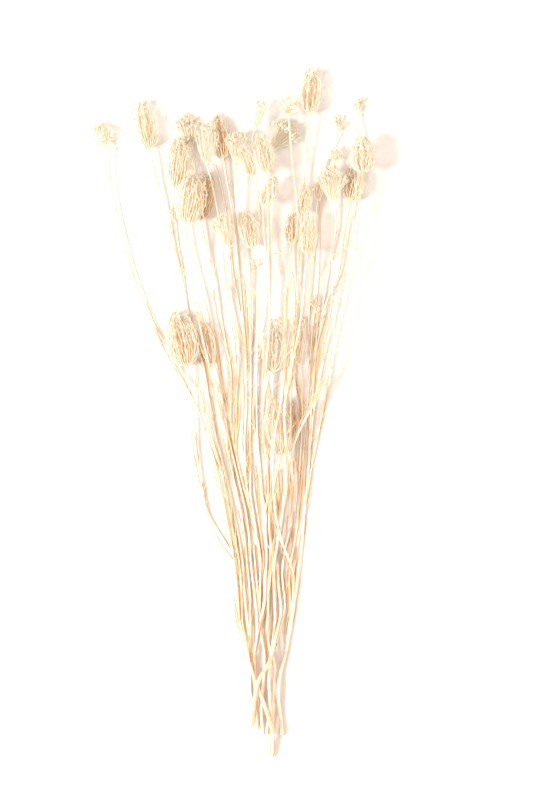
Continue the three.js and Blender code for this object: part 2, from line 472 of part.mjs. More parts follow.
// A goblet of rays: every second meridian is a ray, and umbels stand up and down by turns over its top
function goblet({ length, width, flat, rays }, draw) {
  const rings = [...GOBLET_SIDE, ...GOBLET_TOP];
  const rim = GOBLET_SIDE.length - 1;
  const profile = rings.map(([t, r]) => new THREE.Vector2(r * (width / 2), t * length));
  const lifts = Array.from({ length: rays }, () => THREE.MathUtils.lerp(LOW_UMBEL, 1, draw()));
  return shaped(new THREE.LatheGeometry(profile, rays * 2), (p, index) => {
    const ring = index % rings.length;
    const meridian = Math.floor(index / rings.length) % (rays * 2);
    const isGap = meridian % 2 === 1;
    const overTop = Math.max(0, ring - rim) / (rings.length - 1 - rim);
    const reach = isGap && ring > 1 ? THREE.MathUtils.lerp(GOBLET_GROOVE, 1, overTop) : 1;
    const isUmbel = (meridian + ring - rim) % 2 === 0;
    const rise = isUmbel ? lifts[Math.floor(meridian / 2)] * UMBEL_RISE : -UMBEL_DIP;
    const lift = ring >= rim && overTop < 1 ? rise * length : 0;
    return p.clone().set(p.x * reach, Math.min(p.y + lift, length), p.z * reach * flat);
  });
}

// A burst of rays: the corners and face middles of a fine ball are drawn out, and the rest is pulled in
const BALL_CORNERS = new THREE.IcosahedronGeometry(1, 0).getAttribute('position');
const cornerDirections = Array.from({ length: BALL_CORNERS.count }, (_, i) =>
  new THREE.Vector3().fromBufferAttribute(BALL_CORNERS, i));

function burst({ length, width, flat }, draw) {
  const half = width / 2;
  const toStalk = new THREE.Vector3(0, -1, 0);
  const turn = new THREE.Quaternion().setFromUnitVectors(cornerDirections[0], toStalk);
  const detail = width > LARGE_TUFT ? 2 : 1;
  const below = length * BURST_PLACE;
  const drawn = new Map();
  return shaped(new THREE.IcosahedronGeometry(1, detail), (p) => {
    const near = Math.max(...cornerDirections.map((corner) => corner.dot(p)));
    const isCorner = near > 0.99;
    const isFaceMiddle = near < 0.8;
    const key = p.toArray().map((value) => value.toFixed(3)).join();
    if (!drawn.has(key)) drawn.set(key, draw());
    const ray = THREE.MathUtils.lerp(SHORT_RAY, 1, drawn.get(key));
    const core = BURST_CORE * THREE.MathUtils.lerp(1 - CORE_UNEVEN, 1 + CORE_UNEVEN, drawn.get(key));
    const share = isCorner || isFaceMiddle ? ray : core;
    const out = p.clone().applyQuaternion(turn);
    const isFoot = out.y < -0.99;
    const deep = out.y < 0 ? below : length - below;
    const reach = isFoot ? 1 : share;
    return out.set(out.x * share * half, below + out.y * reach * deep, out.z * share * half * flat);
  });
}

const HEAD_FORMS = { nest, open: goblet, tuft: burst };

// Makes one head upright on its own axis, then lays it at its stalk's tip
function headGeometry(head, base, end, seed) {
  const draw = draws(seed);
  const length = base.distanceTo(end) - HEAD_GAP;
  const form = HEAD_FORMS[head.kind]({ ...head, length }, draw);
  const { side, along, up } = frameAlong(end.clone().sub(base));
  const place = new THREE.Matrix4().makeBasis(side, along, up).setPosition(
    base.clone().addScaledVector(along, HEAD_GAP));
  return flattened(solid(form.applyMatrix4(place)));
}

const bunch = new THREE.Group();

function addPiece(name, geometry, finish) {
  const mesh = new THREE.Mesh(geometry, new THREE.MeshStandardMaterial(finish));
  mesh.name = name;
  bunch.add(mesh);
}

// Each stalk with all its branches is one piece
const stalkNumbers = [...new Set(SHOOTS.map((spec) => spec.on))].sort((a, b) => a - b);
for (const number of stalkNumbers) {
  const own = [...shoots.values()].filter((shoot) => shoot.on === number);
  const rods = own.map((shoot) => solid(rod(shoot.points, shoot.radii, STALK_SIDES)));
  addPiece(`stalk_${number}`, flattened(rods.reduce((whole, part) => whole.add(part))), STRAW);
}

// Each flower head is one piece at the tip of its branch
let seed = 11;
for (const shoot of shoots.values()) {
  if (!shoot.head) continue;
  seed += 7;
  const base = shoot.points.at(-1);
  const end = onSheet(shoot.head.top).setZ(base.z);
  addPiece(shoot.head.name, headGeometry(shoot.head, base, end, seed), HEAD_STRAW);
}

// The origin is under the middle of the whole bunch
const box = new THREE.Box3().setFromObject(bunch);
const middle = box.getCenter(new THREE.Vector3());
for (const mesh of bunch.children) mesh.position.set(-middle.x, -middle.y, -box.min.z);

export default bunch;
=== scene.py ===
import json
import math

import bpy
import numpy as np
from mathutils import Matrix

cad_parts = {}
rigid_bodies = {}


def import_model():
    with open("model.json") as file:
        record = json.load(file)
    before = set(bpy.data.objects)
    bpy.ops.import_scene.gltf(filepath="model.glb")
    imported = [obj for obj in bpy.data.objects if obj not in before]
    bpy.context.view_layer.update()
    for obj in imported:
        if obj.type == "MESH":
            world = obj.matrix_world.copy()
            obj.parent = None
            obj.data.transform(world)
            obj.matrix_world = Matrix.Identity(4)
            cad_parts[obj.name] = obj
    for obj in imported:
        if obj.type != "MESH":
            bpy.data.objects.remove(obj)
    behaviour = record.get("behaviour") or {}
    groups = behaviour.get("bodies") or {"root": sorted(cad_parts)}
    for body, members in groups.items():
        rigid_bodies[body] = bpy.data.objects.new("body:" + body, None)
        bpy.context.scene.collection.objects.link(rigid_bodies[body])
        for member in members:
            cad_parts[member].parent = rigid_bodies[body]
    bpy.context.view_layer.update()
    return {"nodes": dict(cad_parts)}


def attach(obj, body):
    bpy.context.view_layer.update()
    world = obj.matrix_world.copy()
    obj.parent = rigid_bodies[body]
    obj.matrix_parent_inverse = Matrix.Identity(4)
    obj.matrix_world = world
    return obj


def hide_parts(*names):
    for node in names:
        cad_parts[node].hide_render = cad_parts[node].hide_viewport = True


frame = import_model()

# Stalks. Each is one dried, bleached stalk of wild carrot with all its branches, grown in one piece. It is a
# ribbed, pithy stem, about 4 mm thick at its cut foot and 1.5 mm under a flower head, with dry sheaths where
# it branches. Its shoots are traced from the frame: every 2 mm a cut across the bunch shows each as a round.
MM = 0.001
CUT_SPACING = 2.0 * MM
FOOT_TRIM = 0.31 * MM  # the first cut lies this far into the feet
PENTAGON = 2.378  # area of the frame's five-sided shoots, for a radius of 1
NEAR_ENOUGH = 1.6 * MM  # a shoot is at most this far from where it was heading
HIDDEN_AT_MOST = 26  # a shoot may lie against another of its stalk for this many cuts
MERGED_AT_MOST = 24  # above a fork two shoots show as one round for this many cuts, at most
FORK_NARROW = 0.15 * MM  # a fork is where its long round is no wider than this beyond one shoot
UNSURE_NEAR = 3 * NEAR_ENOUGH  # a cut this near to a hidden shoot may be of both
LOOK_BACK = 4  # cuts that tell where a shoot is heading
MERGED_AREA = 1.3  # through a long round the stalk has at most this times its larger shoot's area


def corners_and_triangles(node):
    """The corners of a CAD node, each once, in metres, and its triangles."""
    mesh = node.data
    places = np.empty(len(mesh.vertices) * 3)
    mesh.vertices.foreach_get("co", places)
    places = places.reshape(-1, 3)
    mesh.calc_loop_triangles()
    triangles = np.empty(len(mesh.loop_triangles) * 3, int)
    mesh.loop_triangles.foreach_get("vertices", triangles)
    _, first, same = np.unique(np.round(places, 6), axis=0, return_index=True, return_inverse=True)
    return places[first], same.reshape(-1)[triangles].reshape(-1, 3)


def outlines_at(level, corners, triangles):
    """The closed outlines, as points across and up, where the plane y = level cuts the triangles."""
    above = corners[:, 1] > level
    links = {}
    for triangle in triangles[above[triangles].sum(1) % 3 != 0].tolist():
        pairs = zip(triangle, triangle[1:] + triangle[:1])
        one, other = [(min(pair), max(pair)) for pair in pairs if above[pair[0]] != above[pair[1]]]
        links.setdefault(one, []).append(other)
        links.setdefault(other, []).append(one)
    while links:
        edge = next(iter(links))
        outline = []
        while edge:
            low, high = corners[edge[0]], corners[edge[1]]
            share = (level - low[1]) / (high[1] - low[1])
            outline.append((low + (high - low) * share)[[0, 2]])
            edge = next((following for following in links.pop(edge) if following in links), None)
        yield np.array(outline)


def round_of(level, outline):
    """Centre, area and outline of one cut through a shoot."""
    x, z = outline.T
    turn = x * np.roll(z, -1) - np.roll(x, -1) * z
    area = turn.sum() / 2
    across = ((x + np.roll(x, -1)) * turn).sum() / (6 * area)
    up = ((z + np.roll(z, -1)) * turn).sum() / (6 * area)
    return {"at": np.array([across, level, up]), "area": abs(area), "outline": outline}


def heading(shoot):
    """Where a shoot should show in the next cut."""
    cuts = shoot["cuts"]
    back = min(len(cuts) - 1, LOOK_BACK)
    return cuts[-1]["at"] + (cuts[-1]["at"] - cuts[-1 - back]["at"]) / max(back, 1)


def trace_shoots(node):
    """Every shoot of a stalk, from its root to its tip: its cuts and the shoot that it grows out of."""
    corners, triangles = corners_and_triangles(node)
    shoots = []
    for level in np.arange(corners[:, 1].min() + FOOT_TRIM, corners[:, 1].max(), CUT_SPACING):
        rounds = [round_of(level, outline) for outline in outlines_at(level, corners, triangles)]
        growing = [shoot for shoot in shoots if shoot["growing"]]
        ahead = {id(shoot): heading(shoot) for shoot in growing}
        gaps = []
        for index, shoot in enumerate(growing):
            for number, found in enumerate(rounds):
                away = np.linalg.norm((ahead[id(shoot)] - found["at"])[[0, 2]])
                gaps.append((away, index, number))
        owners, seen = {}, set()
        for away, index, number in sorted(gaps):
            reach = NEAR_ENOUGH + math.sqrt(rounds[number]["area"] / PENTAGON)
            if number in owners or index in seen or away > reach:
                continue
            owners[number] = growing[index]
            seen.add(index)
        for index, shoot in enumerate(growing):
            if index in seen:
                continue
            away = [np.abs(found["outline"] - ahead[id(shoot)][[0, 2]]).sum(1).min() for found in rounds]
            shoot["hidden"] += 1
            touches = bool(away) and min(away) < NEAR_ENOUGH
            shoot["growing"] = touches and shoot["hidden"] < HIDDEN_AT_MOST
            shoot["cuts"].append({**shoot["cuts"][-1], "at": ahead[id(shoot)], "sure": False})
        for number, found in enumerate(rounds):
            if number in owners:
                shoot = owners[number]
                hidden_here = any(
                    other["growing"] and other["hidden"] and other is not shoot
                    and np.linalg.norm((other["cuts"][-1]["at"] - found["at"])[[0, 2]]) < UNSURE_NEAR
                    for other in growing)
                shoot["cuts"].append({**found, "sure": not hidden_here})
                shoot["hidden"] = 0
                continue
            parent = None
            if owners:
                parent = min(owners.values(),
                             key=lambda host: np.linalg.norm(host["cuts"][-1]["at"] - found["at"]))
            cuts = [{**found, "sure": True}]
            shoots.append({"cuts": cuts, "parent": parent, "growing": True, "hidden": 0})
    for shoot in shoots:
        while not shoot["cuts"][-1]["sure"]:
            shoot["cuts"].pop()
    return shoots


def bridged(shoot):
    """Puts a straight run where a shoot was hidden against another one."""
    cuts = shoot["cuts"]
    sure = [index for index, cut in enumerate(cuts) if cut["sure"]]
    places = np.array([cut["at"] for cut in cuts])
    areas = np.array([cut["area"] for cut in cuts])
    every = np.arange(len(cuts))
    for axis in (0, 2):
        places[:, axis] = np.interp(every, sure, places[sure, axis])
    return places, np.interp(every, sure, areas[sure])


def side_by_side(shoot):
    """Above a fork two or three shoots show as one long round: each is laid straight through it."""
    parent = shoot["parent"]
    start = shoot["places"][0]
    fork = int(np.argmin(np.abs(parent["places"][:, 1] - start[1])))
    way = (start - parent["places"][fork]) * [1, 0, 1]
    way = way / (np.linalg.norm(way) + 1e-9)
    radius = math.sqrt(shoot["areas"][0] / PENTAGON)
    low = fork
    while low > max(fork - MERGED_AT_MOST, 0):
        low -= 1
        cut = parent["cuts"][low]
        reach = ((cut["outline"] - cut["at"][[0, 2]]) @ way[[0, 2]]).max()
        if reach - radius < FORK_NARROW:
            break
    shares = np.linspace(0, 1, fork - low + 1)[:-1, None]
    root = parent["places"][low].copy()
    parent["places"][low:fork] = root + (parent["places"][fork] - root) * shares
    most = max(parent["areas"][fork], shoot["areas"][0]) * MERGED_AREA
    parent["areas"][low:fork] = np.minimum(parent["areas"][low:fork], most)
    shoot["cuts"] = parent["cuts"][low:fork] + shoot["cuts"]
    shoot["places"] = np.vstack([root + (start - root) * shares, shoot["places"]])
    shoot["areas"] = np.append(np.full(fork - low, shoot["areas"][0]), shoot["areas"])


def evened(values, passes):
    """Takes the corners out of a line and keeps its ends."""
    values = values.copy()
    for _ in range(passes):
        values[1:-1] = values[1:-1] / 2 + (values[:-2] + values[2:]) / 4
    return values


def unit(vectors):
    """The vectors, each brought to a length of 1."""
    return vectors / np.maximum(np.linalg.norm(vectors, axis=-1, keepdims=True), 1e-12)


def rings_round(centres, radii, sides, ribs=0.0):
    """Corners (tube, ring, side) of tubes along centre lines, round or ribbed, and where each ring faces."""
    ahead = unit(np.gradient(centres, axis=1))
    least = np.abs(ahead.mean(1)).argmin(-1)
    side = unit(np.cross(ahead, np.eye(3)[least][:, None, :]))
    up = np.cross(side, ahead)
    turn = np.arange(sides) * math.tau / sides
    reach = 1 + ribs * np.where(np.arange(sides) % 2, -1, 1)
    spoke = np.cos(turn)[:, None] * side[:, :, None, :] + np.sin(turn)[:, None] * up[:, :, None, :]
    corners = centres[:, :, None, :] + spoke * (radii[:, :, None] * reach)[..., None]
    return corners, ahead


def skin(tubes, rings, sides):
    """Faces round and along tubes, with both ends closed."""
    index = np.arange(tubes * rings * sides).reshape(tubes, rings, sides)
    turned = np.roll(index, -1, axis=2)
    walls = np.stack([index[:, :-1], index[:, 1:], turned[:, 1:], turned[:, :-1]], -1).reshape(-1, 4)
    return [walls, np.concatenate([index[:, 0], index[:, -1, ::-1]])]


GRAIN_SHIFT = 7  # mm between the patterns of one tube and the next, so that no two look the same


def tube_part(centres, radii, sides, inside=0.0, aged=0.0, finish=0, turned_in=0.0):
    """Many like round tubes: their corners, faces, and what their finish needs to know.
    The sides that face the y axis, the middle of a head, get more painted shade, by turned_in."""
    corners, _ = rings_round(centres, radii, sides)
    tubes, rings = radii.shape
    run = np.linalg.norm(np.diff(centres, axis=1), axis=2).cumsum(1)
    run = np.concatenate([np.zeros((tubes, 1)), run], axis=1)
    turn = np.arange(sides) * math.tau / sides
    grain = np.empty(corners.shape)
    grain[..., 0] = radii[:, :, None] * np.cos(turn) + np.arange(tubes)[:, None, None] * MM * GRAIN_SHIFT
    grain[..., 1] = radii[:, :, None] * np.sin(turn)
    grain[..., 2] = run[:, :, None]
    whole = np.ones(corners.shape[:3])
    inside, aged = (np.asarray(amount, float) for amount in (inside, aged))
    inside = inside.reshape(inside.shape + (1,) * (3 - inside.ndim))
    aged = aged.reshape(aged.shape + (1,) * (3 - aged.ndim))
    spokes = unit(corners - centres[:, :, None, :])
    facing = -(spokes * unit(centres * [1, 0, 1])[:, :, None, :]).sum(-1)
    inside = (whole * inside + turned_in * facing.clip(0, 1)).clip(0, 1)
    return {"corners": corners.reshape(-1, 3), "faces": skin(tubes, rings, sides),
            "grain": grain.reshape(-1, 3), "inside": inside.ravel(),
            "aged": (whole * aged).ravel(), "finish": finish}


def make_piece(name, parts, finishes, node):
    """One mesh piece of all the parts, with its finishes, in the place of a CAD node."""
    corners = np.concatenate([part["corners"] for part in parts])
    corners[:, 2] = np.maximum(corners[:, 2], 0)
    starts = np.cumsum([0] + [len(part["corners"]) for part in parts])
    faces, chosen = [], []
    for part, start in zip(parts, starts):
        for face in part["faces"]:
            faces.append(face + start)
            chosen.append(np.full(len(face), part["finish"]))
    sizes = np.concatenate([np.full(len(face), face.shape[1]) for face in faces])
    loops = np.concatenate([face.ravel() for face in faces])
    mesh = bpy.data.meshes.new(name)
    mesh.vertices.add(len(corners))
    mesh.vertices.foreach_set("co", corners.ravel())
    mesh.loops.add(len(loops))
    mesh.loops.foreach_set("vertex_index", loops)
    mesh.polygons.add(len(sizes))
    mesh.polygons.foreach_set("loop_start", np.cumsum(sizes) - sizes)
    mesh.polygons.foreach_set("material_index", np.concatenate(chosen))
    mesh.polygons.foreach_set("use_smooth", np.ones(len(sizes), bool))
    for key, kind in (("grain", "FLOAT_VECTOR"), ("inside", "FLOAT"), ("aged", "FLOAT")):
        values = np.concatenate([part[key] for part in parts])
        field = "vector" if kind == "FLOAT_VECTOR" else "value"
        mesh.attributes.new(key, kind, "POINT").data.foreach_set(field, values.ravel())
    mesh.update(calc_edges=True)
    for finish in finishes:
        mesh.materials.append(finish)
    piece = bpy.data.objects.new(name, mesh)
    bpy.context.scene.collection.objects.link(piece)
    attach(piece, "root")
    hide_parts(node)


def linear(hex_colour):
    """An sRGB hex colour as linear red, green, blue and alpha."""
    shares = [int(hex_colour[start:start + 2], 16) / 255 for start in (1, 3, 5)]
    return [share / 12.92 if share <= 0.04045 else ((share + 0.055) / 1.055) ** 2.4
            for share in shares] + [1.0]


def add_node(material, kind, sockets, **settings):
    """Adds a shader node with its settings. What a socket gets is a number, a colour, or another node's
    socket to be linked to."""
    node = material.node_tree.nodes.new(kind)
    for name, value in settings.items():
        setattr(node, name, value)
    for name, value in sockets.items():
        if isinstance(value, bpy.types.NodeSocket):
            material.node_tree.links.new(value, node.inputs[name])
        else:
            node.inputs[name].default_value = value
    return node


STRAW_PALE = "#FAFAF6"
STRAW_WARM = "#F8F4E8"
STRAW_DEEP = "#E8AC66"
STRAW_TAN = "#EDD2A4"
RAY_PALE = "#F6F7EC"
RAY_WARM = "#F5F0DA"
RAY_DEEP = "#E0A23C"
STALK_FIBRE = 0.5  # mm; the real fibres are 0.1 mm apart, too fine to show
RAY_FIBRE = 0.3  # mm; coarser than the real ones for the same reason
FIBRE_LENGTH = 14  # mm
FIBRES_SHOW = (0.4, 0.72)  # the range of the fibre pattern that goes from pale to warm
FIBRE_RISE = 0.12  # mm
STREAK_SCALE = 0.22  # a streak is 4.5 times as wide and long as a fibre, so its scale is this share
STREAKS_SHOW = (0.54, 0.59)  # a narrow range, for crisp edges
BLOTCH = 22  # mm between paler and darker places, where the bleach took more or less
BLOTCHES_SHOW = (0.45, 0.75)
BLOTCH_MOST = 0.5
STRAW_ROUGH = 0.68
PLANT_IOR = 1.45
GLOW_REACH = (1.0, 0.8, 0.6)  # mm that red, green and blue light go into a stalk


def bleached_straw(name, pale, warm, deep, fibre, streaky, glow):
    """Bleached plant straw: matt, fibrous along its length, tan where it aged, and deeper in colour in
    streaks.
    The inside mark mixes in the deep colour: painted shade where sides are crowded and deep in heads, and
    its own deeper tone in pith and sheaths. Light goes a little way into a stalk and comes out redder, so
    its shade glows."""
    straw = bpy.data.materials.new(name)
    straw.use_nodes = True
    shader = straw.node_tree.nodes["Principled BSDF"]
    grain = add_node(straw, "ShaderNodeAttribute", {}, attribute_name="grain")
    inside = add_node(straw, "ShaderNodeAttribute", {}, attribute_name="inside")
    aged = add_node(straw, "ShaderNodeAttribute", {}, attribute_name="aged")
    per_metre = 1 / (fibre * MM)
    drawn_out = add_node(straw, "ShaderNodeMapping", {
        "Vector": grain.outputs["Vector"],
        "Scale": (per_metre, per_metre, per_metre * fibre / FIBRE_LENGTH)})
    fibres = add_node(straw, "ShaderNodeTexNoise", {
        "Vector": drawn_out.outputs["Vector"], "Scale": 1.0, "Detail": 3.0, "Roughness": 0.6})
    blotches = add_node(straw, "ShaderNodeTexNoise", {
        "Vector": grain.outputs["Vector"], "Scale": 1 / (BLOTCH * MM), "Detail": 2.0})
    streaks = add_node(straw, "ShaderNodeTexNoise", {
        "Vector": drawn_out.outputs["Vector"], "Scale": STREAK_SCALE, "Detail": 1.0})
    fibre_share = add_node(straw, "ShaderNodeMapRange", {
        "Value": fibres.outputs["Fac"], "From Min": FIBRES_SHOW[0], "From Max": FIBRES_SHOW[1]})
    streak_share = add_node(straw, "ShaderNodeMapRange", {
        "Value": streaks.outputs["Fac"], "From Min": STREAKS_SHOW[0], "From Max": STREAKS_SHOW[1],
        "To Max": streaky})
    fibrous = add_node(straw, "ShaderNodeMix", {
        "Factor": fibre_share.outputs["Result"], "A": linear(pale), "B": linear(warm)}, data_type="RGBA")
    base = add_node(straw, "ShaderNodeMix", {
        "Factor": streak_share.outputs["Result"], "A": fibrous.outputs["Result"], "B": linear(deep)},
        data_type="RGBA")
    blotch_share = add_node(straw, "ShaderNodeMapRange", {
        "Value": blotches.outputs["Fac"], "From Min": BLOTCHES_SHOW[0], "From Max": BLOTCHES_SHOW[1],
        "To Max": BLOTCH_MOST})
    blotched = add_node(straw, "ShaderNodeMix", {
        "Factor": blotch_share.outputs["Result"], "A": base.outputs["Result"], "B": linear(warm)},
        data_type="RGBA")
    tanned = add_node(straw, "ShaderNodeMix", {
        "Factor": aged.outputs["Fac"], "A": blotched.outputs["Result"], "B": linear(STRAW_TAN)},
        data_type="RGBA")
    # Painted shade: the inside mark mixes in the deep colour.
    deepened = add_node(straw, "ShaderNodeMix", {
        "Factor": inside.outputs["Fac"], "A": tanned.outputs["Result"], "B": linear(deep)},
        data_type="RGBA")
    bump = add_node(straw, "ShaderNodeBump", {
        "Height": fibres.outputs["Fac"], "Strength": 0.35, "Distance": FIBRE_RISE * MM})
    straw.node_tree.links.new(deepened.outputs["Result"], shader.inputs["Base Color"])
    straw.node_tree.links.new(bump.outputs["Normal"], shader.inputs["Normal"])
    shader.inputs["Roughness"].default_value = STRAW_ROUGH
    shader.inputs["IOR"].default_value = PLANT_IOR
    shader.inputs["Subsurface Weight"].default_value = glow
    shader.inputs["Subsurface Radius"].default_value = GLOW_REACH
    shader.inputs["Subsurface Scale"].default_value = MM
    return straw


STALK_SIDES = 10  # every second side is a rib
RIB_DEPTH = 0.12
STALK_EVENING = 14  # passes that turn the frame's straight lengths into the bends of a dry stem
WIDTH_EVENING = 4
FORK_EVENING = 2  # passes after a shoot's root is laid on its parent's line
SHRUNK_PLACES = [-0.33, -0.26, -0.05]  # metres along the bunch
SHRUNK_SHARES = [0.96, 0.8, 0.76]  # the stems dried to this share of the frame's width there
WALL_SHARE = 0.62  # the pith fills this share of the width
PITH_SUNK = 0.7 * MM
CROWD_NEAR = 9.0 * MM  # the side of a stalk that faces others this near gets painted shade
CROWD_FULL = 0.9  # from this much on, full painted shade
COMPANY_NEAR = 26.0 * MM  # and its underside gets painted shade where this many others lie this near
COMPANY_FULL = 6
SIDE_ON = 0.1  # a side faces a neighbour when the cosine between them is above this
UNDER_FROM = 0.3  # and counts as underside when it faces up by less than this
CROWDED_DEPTH = 0.55  # share of the deep colour that the most crowded side gets, as painted shade
PITH_DEPTH = 0.9  # and that the pith in a cut foot has
PITH_TAN = 0.8
STEM_UNEVEN = 0.07  # share of its width by which a stem swells and shrinks
GRAIN_RADIUS = 2  # mm; the pattern is laid round a stem of this radius

stalk_straw = bleached_straw("bleached_stalk_straw", STRAW_PALE, STRAW_WARM, STRAW_DEEP,
                             fibre=STALK_FIBRE, streaky=0.8, glow=0.7)
ray_straw = bleached_straw("bleached_ray_straw", RAY_PALE, RAY_WARM, RAY_DEEP,
                           fibre=RAY_FIBRE, streaky=0.1, glow=0.0)
stalks = {}
for node_name, node in sorted(frame["nodes"].items()):
    if not node_name.startswith("stalk"):
        continue
    shoots = trace_shoots(node)
    for shoot in shoots:
        shoot["places"], shoot["areas"] = bridged(shoot)
    for shoot in shoots:
        if shoot["parent"]:
            side_by_side(shoot)
    stalks[node_name] = shoots

# A shoot's end is where its flower head's foot is.
heads = {}
all_shoots = [shoot for shoots in stalks.values() for shoot in shoots]
ends = np.array([shoot["places"][-1] for shoot in all_shoots])
for node_name, node in sorted(frame["nodes"].items()):
    if node_name.startswith("stalk"):
        continue
    corners, _ = corners_and_triangles(node)
    gaps = np.linalg.norm(corners[:, None] - ends[None], axis=2)
    corner, which = np.unravel_index(gaps.argmin(), gaps.shape)
    foot = corners[corner]
    along = unit((corners.mean(0) - foot) * [1, 1, 0])
    axes = np.stack([np.cross(along, [0, 0, 1]), along, [0, 0, 1]])
    room = (corners - foot) @ axes.T
    shoot = all_shoots[which]
    shoot["head"] = node_name
    shoot["places"] = np.vstack([shoot["places"], foot])
    shoot["areas"] = np.append(shoot["areas"], shoot["areas"][-1])
    heads[node_name] = {"foot": foot, "axes": axes, "length": room[:, 1].max(),
                        "half": np.abs(room[:, 0]).max(), "deep": room[:, 2].max(),
                        "stem": math.sqrt(shoot["areas"][-1] / PENTAGON)}

for shoots in stalks.values():
    for shoot in shoots:
        slope = unit(np.gradient(shoot["places"], axis=0))[:, 1]
        radii = np.sqrt(shoot["areas"] * np.abs(slope) / PENTAGON)
        shoot["radii"] = evened(radii, WIDTH_EVENING)
        shoot["line"] = evened(shoot["places"], STALK_EVENING)
    for shoot in shoots:
        if shoot["parent"]:
            gaps = np.abs(shoot["parent"]["line"][:, 1] - shoot["line"][0][1])
            shoot["line"][0] = shoot["parent"]["line"][int(gaps.argmin())]
            shoot["line"] = evened(shoot["line"], FORK_EVENING)

stem_places = np.concatenate([shoot["line"] for shoot in all_shoots])


def crowd_shade(line, corners):
    """Painted shade on each side of a shoot, 0 to 1: most where it faces its neighbours, and
    underneath where many lie close together."""
    painted_shade = np.zeros(corners.shape[:2])
    spokes = unit(corners - line[:, None])
    for index, place in enumerate(line):
        gaps = stem_places - place
        away = np.hypot(gaps[:, 0], gaps[:, 2])
        level = (np.abs(gaps[:, 1]) < CUT_SPACING / 2) & (away > MM)
        near = level & (away < CROWD_NEAR)
        ways = gaps[near][:, [0, 2]] / away[near, None]
        facing = (spokes[index][:, [0, 2]] @ ways.T - SIDE_ON).clip(0)
        under = (UNDER_FROM - spokes[index][:, 2]).clip(0)
        company = min((level & (away < COMPANY_NEAR)).sum() / COMPANY_FULL, 1)
        painted_shade[index] = (facing * (1 - away[near] / CROWD_NEAR)).sum(1) + under * company
    return np.minimum(evened(painted_shade, 2) / CROWD_FULL, 1)


def stalk_part(shoot, aged, draw):
    """One shoot as a ribbed stem, with a hollow at a cut foot and at a broken end."""
    line, radii = shoot["line"], shoot["radii"].copy()
    radii *= 1 + STEM_UNEVEN * evened(draw.normal(size=len(radii)), 2)
    radii *= np.interp(line[:, 1], SHRUNK_PLACES, SHRUNK_SHARES)
    corners, ahead = rings_round(line[None], radii[None], STALK_SIDES, RIB_DEPTH)
    corners, ahead = corners[0], ahead[0]
    # Painted shade on the sides that face neighbours and underneath.
    inside = CROWDED_DEPTH * crowd_shade(line, corners)
    run = np.append(0, np.linalg.norm(np.diff(line, axis=0), axis=1).cumsum())
    rings, marks, places = [corners], [inside], [run]
    tan = np.full(len(line), aged)
    if not shoot["parent"]:
        wall = line[0] + (corners[0] - line[0]) * WALL_SHARE
        rings.insert(0, np.stack([wall + ahead[0] * PITH_SUNK, wall]))
        marks.insert(0, np.full((2, STALK_SIDES), PITH_DEPTH))
        places.insert(0, np.zeros(2))
        tan = np.append([PITH_TAN, PITH_TAN], tan)
    if "head" not in shoot:
        wall = line[-1] + (corners[-1] - line[-1]) * WALL_SHARE
        rings.append(np.stack([wall, wall - ahead[-1] * PITH_SUNK]))
        marks.append(np.ones((2, STALK_SIDES)))
        places.append(np.full(2, run[-1]))
        tan = np.append(tan, [1.0, 1.0])
    rings, marks, places = np.concatenate(rings), np.concatenate(marks), np.concatenate(places)
    turn = np.arange(STALK_SIDES) * math.tau / STALK_SIDES
    grain = np.empty(rings.shape)
    shift = draw.uniform(0, 1)
    grain[..., 0] = np.cos(turn) * GRAIN_RADIUS * MM + shift
    grain[..., 1] = np.sin(turn) * GRAIN_RADIUS * MM
    grain[..., 2] = places[:, None]
    return {"corners": rings.reshape(-1, 3), "faces": skin(1, len(rings), STALK_SIDES),
            "grain": grain.reshape(-1, 3), "inside": marks.ravel(),
            "aged": np.repeat(tan, STALK_SIDES), "finish": 0}


SHEATH_POINTS = 3
SHEATH_REACH = 5.0 * MM
SHEATH_RADII = np.array([0.35, 0.42, 0.25, 0.04])  # of each point, as shares of the shoot's radius
SHEATH_AHEAD = 4  # cuts along the shoot that tell which way its points lie


def leaf_sheath(shoot, draw):
    """The dry leaf sheath where a shoot leaves its stalk: a few short points that clasp it."""
    line, radius = shoot["line"], shoot["radii"][0]
    ahead = unit(line[min(SHEATH_AHEAD, len(line) - 1)] - line[0])
    side = unit(np.cross(ahead, [0, 0, 1]))
    up = np.cross(side, ahead)
    centres, radii = [], []
    steps = np.linspace(0, 1, len(SHEATH_RADII))[:, None]
    for turn in draw.uniform(0, math.tau, SHEATH_POINTS):
        out = np.cos(turn) * side + np.sin(turn) * up
        reach = SHEATH_REACH * draw.uniform(0.5, 1.1)
        centres.append(line[0] + ahead * reach * (steps - 0.1) + out * radius * (0.7 + 0.7 * steps ** 2))
        radii.append(radius * SHEATH_RADII)
    return tube_part(np.array(centres), np.array(radii), 5, inside=0.2, aged=0.4, finish=1)


LEAF_REACH = 16 * MM  # longest rest of a leaf
LEAF_RIB_POINTS = 7
LEAF_RIB_RADII = (0.42, 0.14)  # mm, from its root to its end
LEAFLETS = 6
LEAFLET_RADII = np.array([0.24, 0.22, 0.17, 0.08])  # mm
LEAFY_FROM = -0.09  # metres along the bunch: below this the stalks are bare
LEAF_EVERY = 22 * MM
LEAF_LOWEST = 0.6 * MM  # none is pressed flat on the surface


